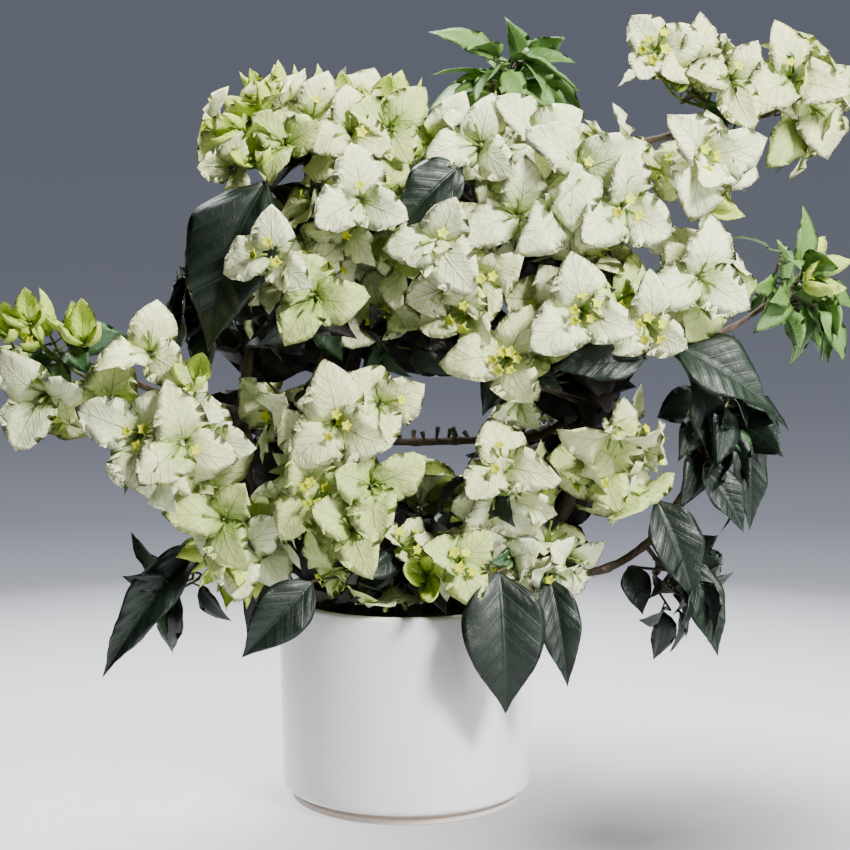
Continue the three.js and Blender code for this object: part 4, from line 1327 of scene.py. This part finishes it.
def add_long_leaf(name, base, tip, width):
    """One of the longest leaves, on a stem from the hub of its mass."""
    mass = next(mass for mass in masses if mass.name == name)
    base, tip = np.array(base, float), np.array(tip, float)
    along = unit(tip - base)
    side = unit(np.cross(along, mass.facing * 0.4 + LOOK_OUT))
    face = np.cross(side, along)
    length = float(np.linalg.norm(tip - base))
    rows = long_rows if mass.tint == "dark" else leaf_rows[mass.tint]
    kinds = LONG_KINDS if mass.tint == "dark" else LEAF_KINDS
    rows.append(blade_row(base, along, -side, face, length, width, kinds))
    middle = (mass.hub + base) / 2 + mass.facing * 2
    brown_lines.append(([mass.hub, middle, base, base + along * 4], [1.1, 0.9, 0.8, 0.5]))


for mass in masses:
    brown_lines.append(([mass.root, mass.hub], [STEM["radius"], STEM["radius"] * 0.7]))
for row in LONG_LEAVES:
    add_long_leaf(*row)
stars = grow_stars()
for star in stars:
    add_twig(star)
    if star.flowering:
        dress_blossom(star)
    else:
        dress_leaves(star)
for mass in masses:
    add_painted_shade_leaves(mass)
for name in MAIN_BOUGHS:
    add_bough_shade(name)
for centre, half in HOLLOWS:
    add_hollow_shade(np.array(centre), np.array(half))
add_bare_stubs()

# ---- The pieces of the plant ----


def blade_kinds(name, count, rows, columns, stations, height_of, thick):
    """The variants of one blade, which share its grid and its outline."""
    grid = blade_grid(rows, columns)

    def make(label, rng):
        return blade_mesh(label, grid, stations, height_of, rng, thick)

    return kinds_of(name, count, make)


bract_kinds = blade_kinds("bract", BRACT_KINDS, 8, 4, BRACT_OUTLINE, bract_height, 0.009)
young_kinds = blade_kinds("young_bract", YOUNG_KINDS, 6, 4, YOUNG_OUTLINE, young_height, 0.012)
leaf_kinds = blade_kinds("leaf", LEAF_KINDS, 8, 4, LEAF_OUTLINE, leaf_height, 0.006)
long_kinds = blade_kinds("long_leaf", LONG_KINDS, 44, 14, LEAF_OUTLINE, leaf_height, 0.005)
tube_kinds = kinds_of("tube", 1, tube_mesh)
star_kinds = kinds_of("floret", 1, star_mesh)

flowering_nodes = [mass.name for mass in masses if mass.blossoms > mass.leafy]
leafy_nodes = [mass.name for mass in masses if mass.blossoms <= mass.leafy]

for tone, rows in bract_rows.items():
    kinds = young_kinds if tone == "young" else bract_kinds
    scattered(f"bracts_{tone}", rows, kinds, BRACT_FINISHES[tone], "blossom", *flowering_nodes)
for tone, rows in leaf_rows.items():
    scattered(f"leaves_{tone}", rows, leaf_kinds, LEAF_FINISHES[tone], "leaf", *leafy_nodes)
scattered("leaves_long", long_rows, long_kinds, LEAF_FINISHES["dark"], "leaf", *leafy_nodes)
tube_finish = floret_finish("floret_tube", tint(80, 110, 44), tint(156, 178, 88))
floret_face = floret_finish("floret_face", tint(176, 188, 8), tint(222, 224, 40))
scattered("floret_tubes", tube_rows, tube_kinds, tube_finish, "blossom", *flowering_nodes)
scattered("floret_faces", floret_rows, star_kinds, floret_face, "blossom", *flowering_nodes)


def twigs(name, lines, material, step, sides, relief, *nodes):
    """One piece: a round twig along each of the lines."""
    values = {"Step": step * MM, "Sides": sides, "Relief": relief * MM, "Material": material}
    finished(TWIGS.run(name, lines_mesh(lines), values), "bark", *nodes)


old_bark = bark_finish("old_bark", tint(38, 28, 22), tint(104, 88, 70))
twig_bark = bark_finish("twig_bark", tint(46, 38, 26), tint(98, 90, 62), 2)
green_bark = bark_finish("green_bark", tint(60, 74, 34), tint(120, 136, 78), 2)
twigs("boughs", limb_lines(), old_bark, BARK_STEP, 12, 1.6, *LIMBS)
twigs("brown_twigs", brown_lines, twig_bark, 5, 6, 0.2)
twigs("green_twigs", green_lines, green_bark, 4, 5, 0.1)

# ---- Pot and soil ----


def arc(centre, radius, start, end, steps=6):
    """Points of a round corner, in the plane of a profile."""
    angles = np.radians(np.linspace(start, end, steps))
    return [(centre[0] + radius * math.cos(a), centre[1] + radius * math.sin(a)) for a in angles]


def lathe(name, profile, materials, bare_below=0, segments=128):
    """A closed shape turned about the pot's axis. Its profile starts and ends on the axis, and what lies
    under bare_below has the second material."""
    points, faces, zones, rings = [], [], [], []
    for r, z in profile:
        if r < 1e-6:
            rings.append([len(points)] * segments)
            points.append((0, 0, z * MM))
            continue
        rings.append(list(range(len(points), len(points) + segments)))
        for j in range(segments):
            a = 2 * math.pi * j / segments
            points.append((r * math.cos(a) * MM, r * math.sin(a) * MM, z * MM))
    for i in range(len(profile) - 1):
        for j in range(segments):
            k = (j + 1) % segments
            loop = [rings[i][j], rings[i][k], rings[i + 1][k], rings[i + 1][j]]
            faces.append(list(dict.fromkeys(loop)))
            zones.append(int(max(profile[i][1], profile[i + 1][1]) < bare_below))
    mesh = bpy.data.meshes.new(name)
    mesh.from_pydata(points, [], faces)
    for material in materials:
        mesh.materials.append(material)
    mesh.polygons.foreach_set("material_index", zones)
    mesh.polygons.foreach_set("use_smooth", [True] * len(faces))
    piece = bpy.data.objects.new(name, mesh)
    bpy.context.scene.collection.objects.link(piece)
    return piece


def pot():
    """A near-straight cylinder with a soft thin rim, on a bare foot ring under a shadow groove."""
    lip = POT["wall"] / 2
    bevel = FOOT["bevel"]
    side_foot = FOOT["groove_top"] + bevel
    inner_foot = POT["foot"] - POT["wall"]
    profile = [(0, 0), (FOOT["ring"] - 4, 0)]
    profile += arc((FOOT["ring"] - 1, 1), 1, -90, 0)
    profile += arc((FOOT["ring"] - 0.5, FOOT["ring_height"] - 0.5), 0.5, 0, 90, 4)
    profile += [(FOOT["groove"], FOOT["ring_height"] + 0.3), (FOOT["groove"], FOOT["groove_top"])]
    profile += arc((POT["foot"] - bevel, side_foot), bevel, -90, 0, 8)
    heights = np.linspace(side_foot + 8, POT["height"] - lip - 6, 8)
    slope = (POT["rim"] - POT["foot"]) / (POT["height"] - lip - side_foot)
    profile += [(POT["foot"] + (z - side_foot) * slope, z) for z in heights]
    profile += arc((POT["rim"] - lip, POT["height"] - lip), lip, 0, 180, 12)
    profile += [(POT["rim"] - POT["wall"] - 0.1, POT["height"] - lip - 4)]
    profile += [(inner_foot, POT["floor"] + 5)]
    profile += arc((inner_foot - 4, POT["floor"] + 4), 4, 0, -90)
    profile += [(0, POT["floor"])]
    piece = lathe("pot_glazed", profile, [glaze_finish(), bisque_finish()], FOOT["groove_top"] + 0.3)
    finished(piece, "glaze", "pot")


def soil_edge(z):
    """The radius of the soil at a height, clear of the pot's wall."""
    outside = POT["foot"] + (POT["rim"] - POT["foot"]) * z / POT["height"]
    return outside - POT["wall"] - 2 * SOIL["gap"]


def soil_height(r):
    """The height of the domed soil at a distance from the pot's axis."""
    return SOIL["top"] - SOIL["dome"] * (r / SOIL["reach"]) ** 2


def soil():
    """The soil, with an uneven top and loose crumbs on it."""
    low = POT["floor"] + SOIL["gap"]
    profile = [(0, low), (POT["foot"] - POT["wall"] - 6, low)]
    profile += [(soil_edge(POT["floor"] + 6), POT["floor"] + 6)]
    profile += [(soil_edge(SOIL["top"]), SOIL["top"] - SOIL["dome"])]
    profile += [(r, soil_height(r)) for r in np.linspace(SOIL["loose"], 3, 26)]
    profile += [(0, SOIL["top"])]
    piece = lathe("soil_bed", profile, [soil_finish()], segments=96)
    for v in piece.data.vertices:
        if v.co.z > (SOIL["top"] - SOIL["dome"] - 1) * MM:
            lump = noise.noise(v.co * 90) * 1.6 + noise.noise(v.co * 260) * 0.9
            v.co.z += lump * MM
    finished(piece, "soil", "soil")
    crumbs = np.random.default_rng(5)
    rows = []
    for _ in range(SOIL["crumbs"]):
        r, a = SOIL["loose"] * math.sqrt(crumbs.random()), crumbs.uniform(0, 2 * math.pi)
        z = soil_height(r) + crumbs.uniform(-0.3, 0.6)
        u, v = square_to(unit(crumbs.normal(size=3)))
        size = crumbs.uniform(1.2, 4.2)
        place = (r * math.cos(a), r * math.sin(a), z)
        rows.append([place, [u, v, np.cross(u, v)], (size, size * 0.8, size), int(crumbs.integers(5)), 0.5])
    crumb_kinds = kinds_of("crumb", 5, crumb_mesh)
    scattered("soil_crumbs", rows, crumb_kinds, piece.data.materials[0], "soil")


pot()
soil()

# ---- Stage: camera, floor, backdrop, lights ----

CAMERA = {"place": (0.0106, -1.4, 0.43), "pitch": 8.77, "focal_px": 2504, "frame_px": 850, "sensor": 36}


def make_camera():
    data = bpy.data.cameras.new("camera")
    data.sensor_width = CAMERA["sensor"]
    data.lens = CAMERA["focal_px"] / CAMERA["frame_px"] * CAMERA["sensor"]
    camera = bpy.data.objects.new("camera", data)
    camera.location = CAMERA["place"]
    camera.rotation_euler = (math.radians(90 - CAMERA["pitch"]), 0, 0)
    bpy.context.scene.collection.objects.link(camera)
    bpy.context.scene.camera = camera


def make_floor():
    """A grey floor that fades into the backdrop behind the plant. It glows with painted light everywhere but at
    a painted shadow, a dark spot at the pot's front right.
    """
    finish = Finish("floor")
    far = finish.node("ShaderNodeVectorMath", {"operation": "LENGTH"}, {0: finish.place()})
    faded = ((Varying(finish, far.outputs["Value"]) - 0.22) / 0.4).kept()
    # The painted shadow: the painted light grows from nothing at a spot at the pot's front right.
    settings = {"operation": "DISTANCE"}
    from_painted_shadow = finish.node("ShaderNodeVectorMath", settings, {0: finish.place(), 1: (0.12, -0.085, 0)})
    painted_glow = ((Varying(finish, from_painted_shadow.outputs["Value"]) - 0.01) / 0.24).kept()
    # A darker grey under the painted light, so that the painted shadow stays dark.
    finish.set(base_color=tint(118, 118, 121), roughness=0.6, alpha=1 - faded, emission_strength=1.7)
    finish.set(emission_color=finish.mix(painted_glow, (0, 0, 0, 1), tint(250, 251, 255)))
    mesh = bpy.data.meshes.new("floor")
    mesh.from_pydata([(-3, -3, 0), (3, -3, 0), (3, 3, 0), (-3, 3, 0)], [], [(0, 1, 2, 3)])
    mesh.materials.append(finish.material)
    floor = bpy.data.objects.new("floor", mesh)
    bpy.context.scene.collection.objects.link(floor)


def make_backdrop():
    """A studio backdrop: pale low down, slate grey above, and brighter towards the right and the back."""
    world = bpy.data.worlds.new("backdrop")
    bpy.context.scene.world = world
    world.use_nodes = True
    nodes, links = world.node_tree.nodes, world.node_tree.links
    place = nodes.new("ShaderNodeTexCoord")
    parts = nodes.new("ShaderNodeSeparateXYZ")
    links.new(place.outputs["Generated"], parts.inputs[0])
    span = nodes.new("ShaderNodeMapRange")
    span.inputs["From Min"].default_value = -0.3
    span.inputs["From Max"].default_value = 0.1
    links.new(parts.outputs["Z"], span.inputs["Value"])
    ramp = nodes.new("ShaderNodeValToRGB")
    links.new(span.outputs[0], ramp.inputs[0])
    stops = [(0.08, tint(250, 251, 255)), (0.16, tint(197, 199, 208)), (0.22, tint(132, 134, 143))]
    stops += [(0.28, tint(102, 105, 115)), (0.34, tint(88, 91, 100)), (0.4, tint(79, 82, 91))]
    stops += [(0.52, tint(72, 75, 83)), (0.7, tint(69, 72, 81))]
    ramp.color_ramp.elements[0].position, ramp.color_ramp.elements[0].color = stops[0]
    ramp.color_ramp.elements[1].position, ramp.color_ramp.elements[1].color = stops[-1]
    for position, colour in stops[1:-1]:
        ramp.color_ramp.elements.new(position).color = colour
    links.new(ramp.outputs[0], nodes["Background"].inputs["Color"])
    ahead = nodes.new("ShaderNodeVectorMath")
    ahead.operation = "DOT_PRODUCT"
    links.new(place.outputs["Generated"], ahead.inputs[0])
    ahead.inputs[1].default_value = (0.8, 0.6, 0)
    dim = nodes.new("ShaderNodeMapRange")
    for name, value in {"From Min": 0.08, "From Max": 0.44, "To Min": 0.2, "To Max": 2.0}.items():
        dim.inputs[name].default_value = value
    links.new(ahead.outputs["Value"], dim.inputs["Value"])
    links.new(dim.outputs[0], nodes["Background"].inputs["Strength"])


def soft_light(name, place, target, size, watts, colour=(1, 1, 1)):
    data = bpy.data.lights.new(name, "AREA")
    data.size = size
    data.energy = watts
    data.color = colour
    lamp = bpy.data.objects.new(name, data)
    lamp.location = place
    lamp.rotation_euler = (Vector(target) - Vector(place)).to_track_quat("-Z", "Y").to_euler()
    bpy.context.scene.collection.objects.link(lamp)


make_camera()
make_floor()
make_backdrop()
soft_light("key_light", (0.8, -0.95, 1.2), (0, 0, 0.22), 0.32, 62, (1, 0.99, 0.96))
soft_light("fill_light", (1.2, -0.9, 0.3), (0, 0, 0.1), 0.7, 12)
soft_light("top_light", (-0.4, 0.4, 1.35), (0, 0, 0.25), 0.35, 46)
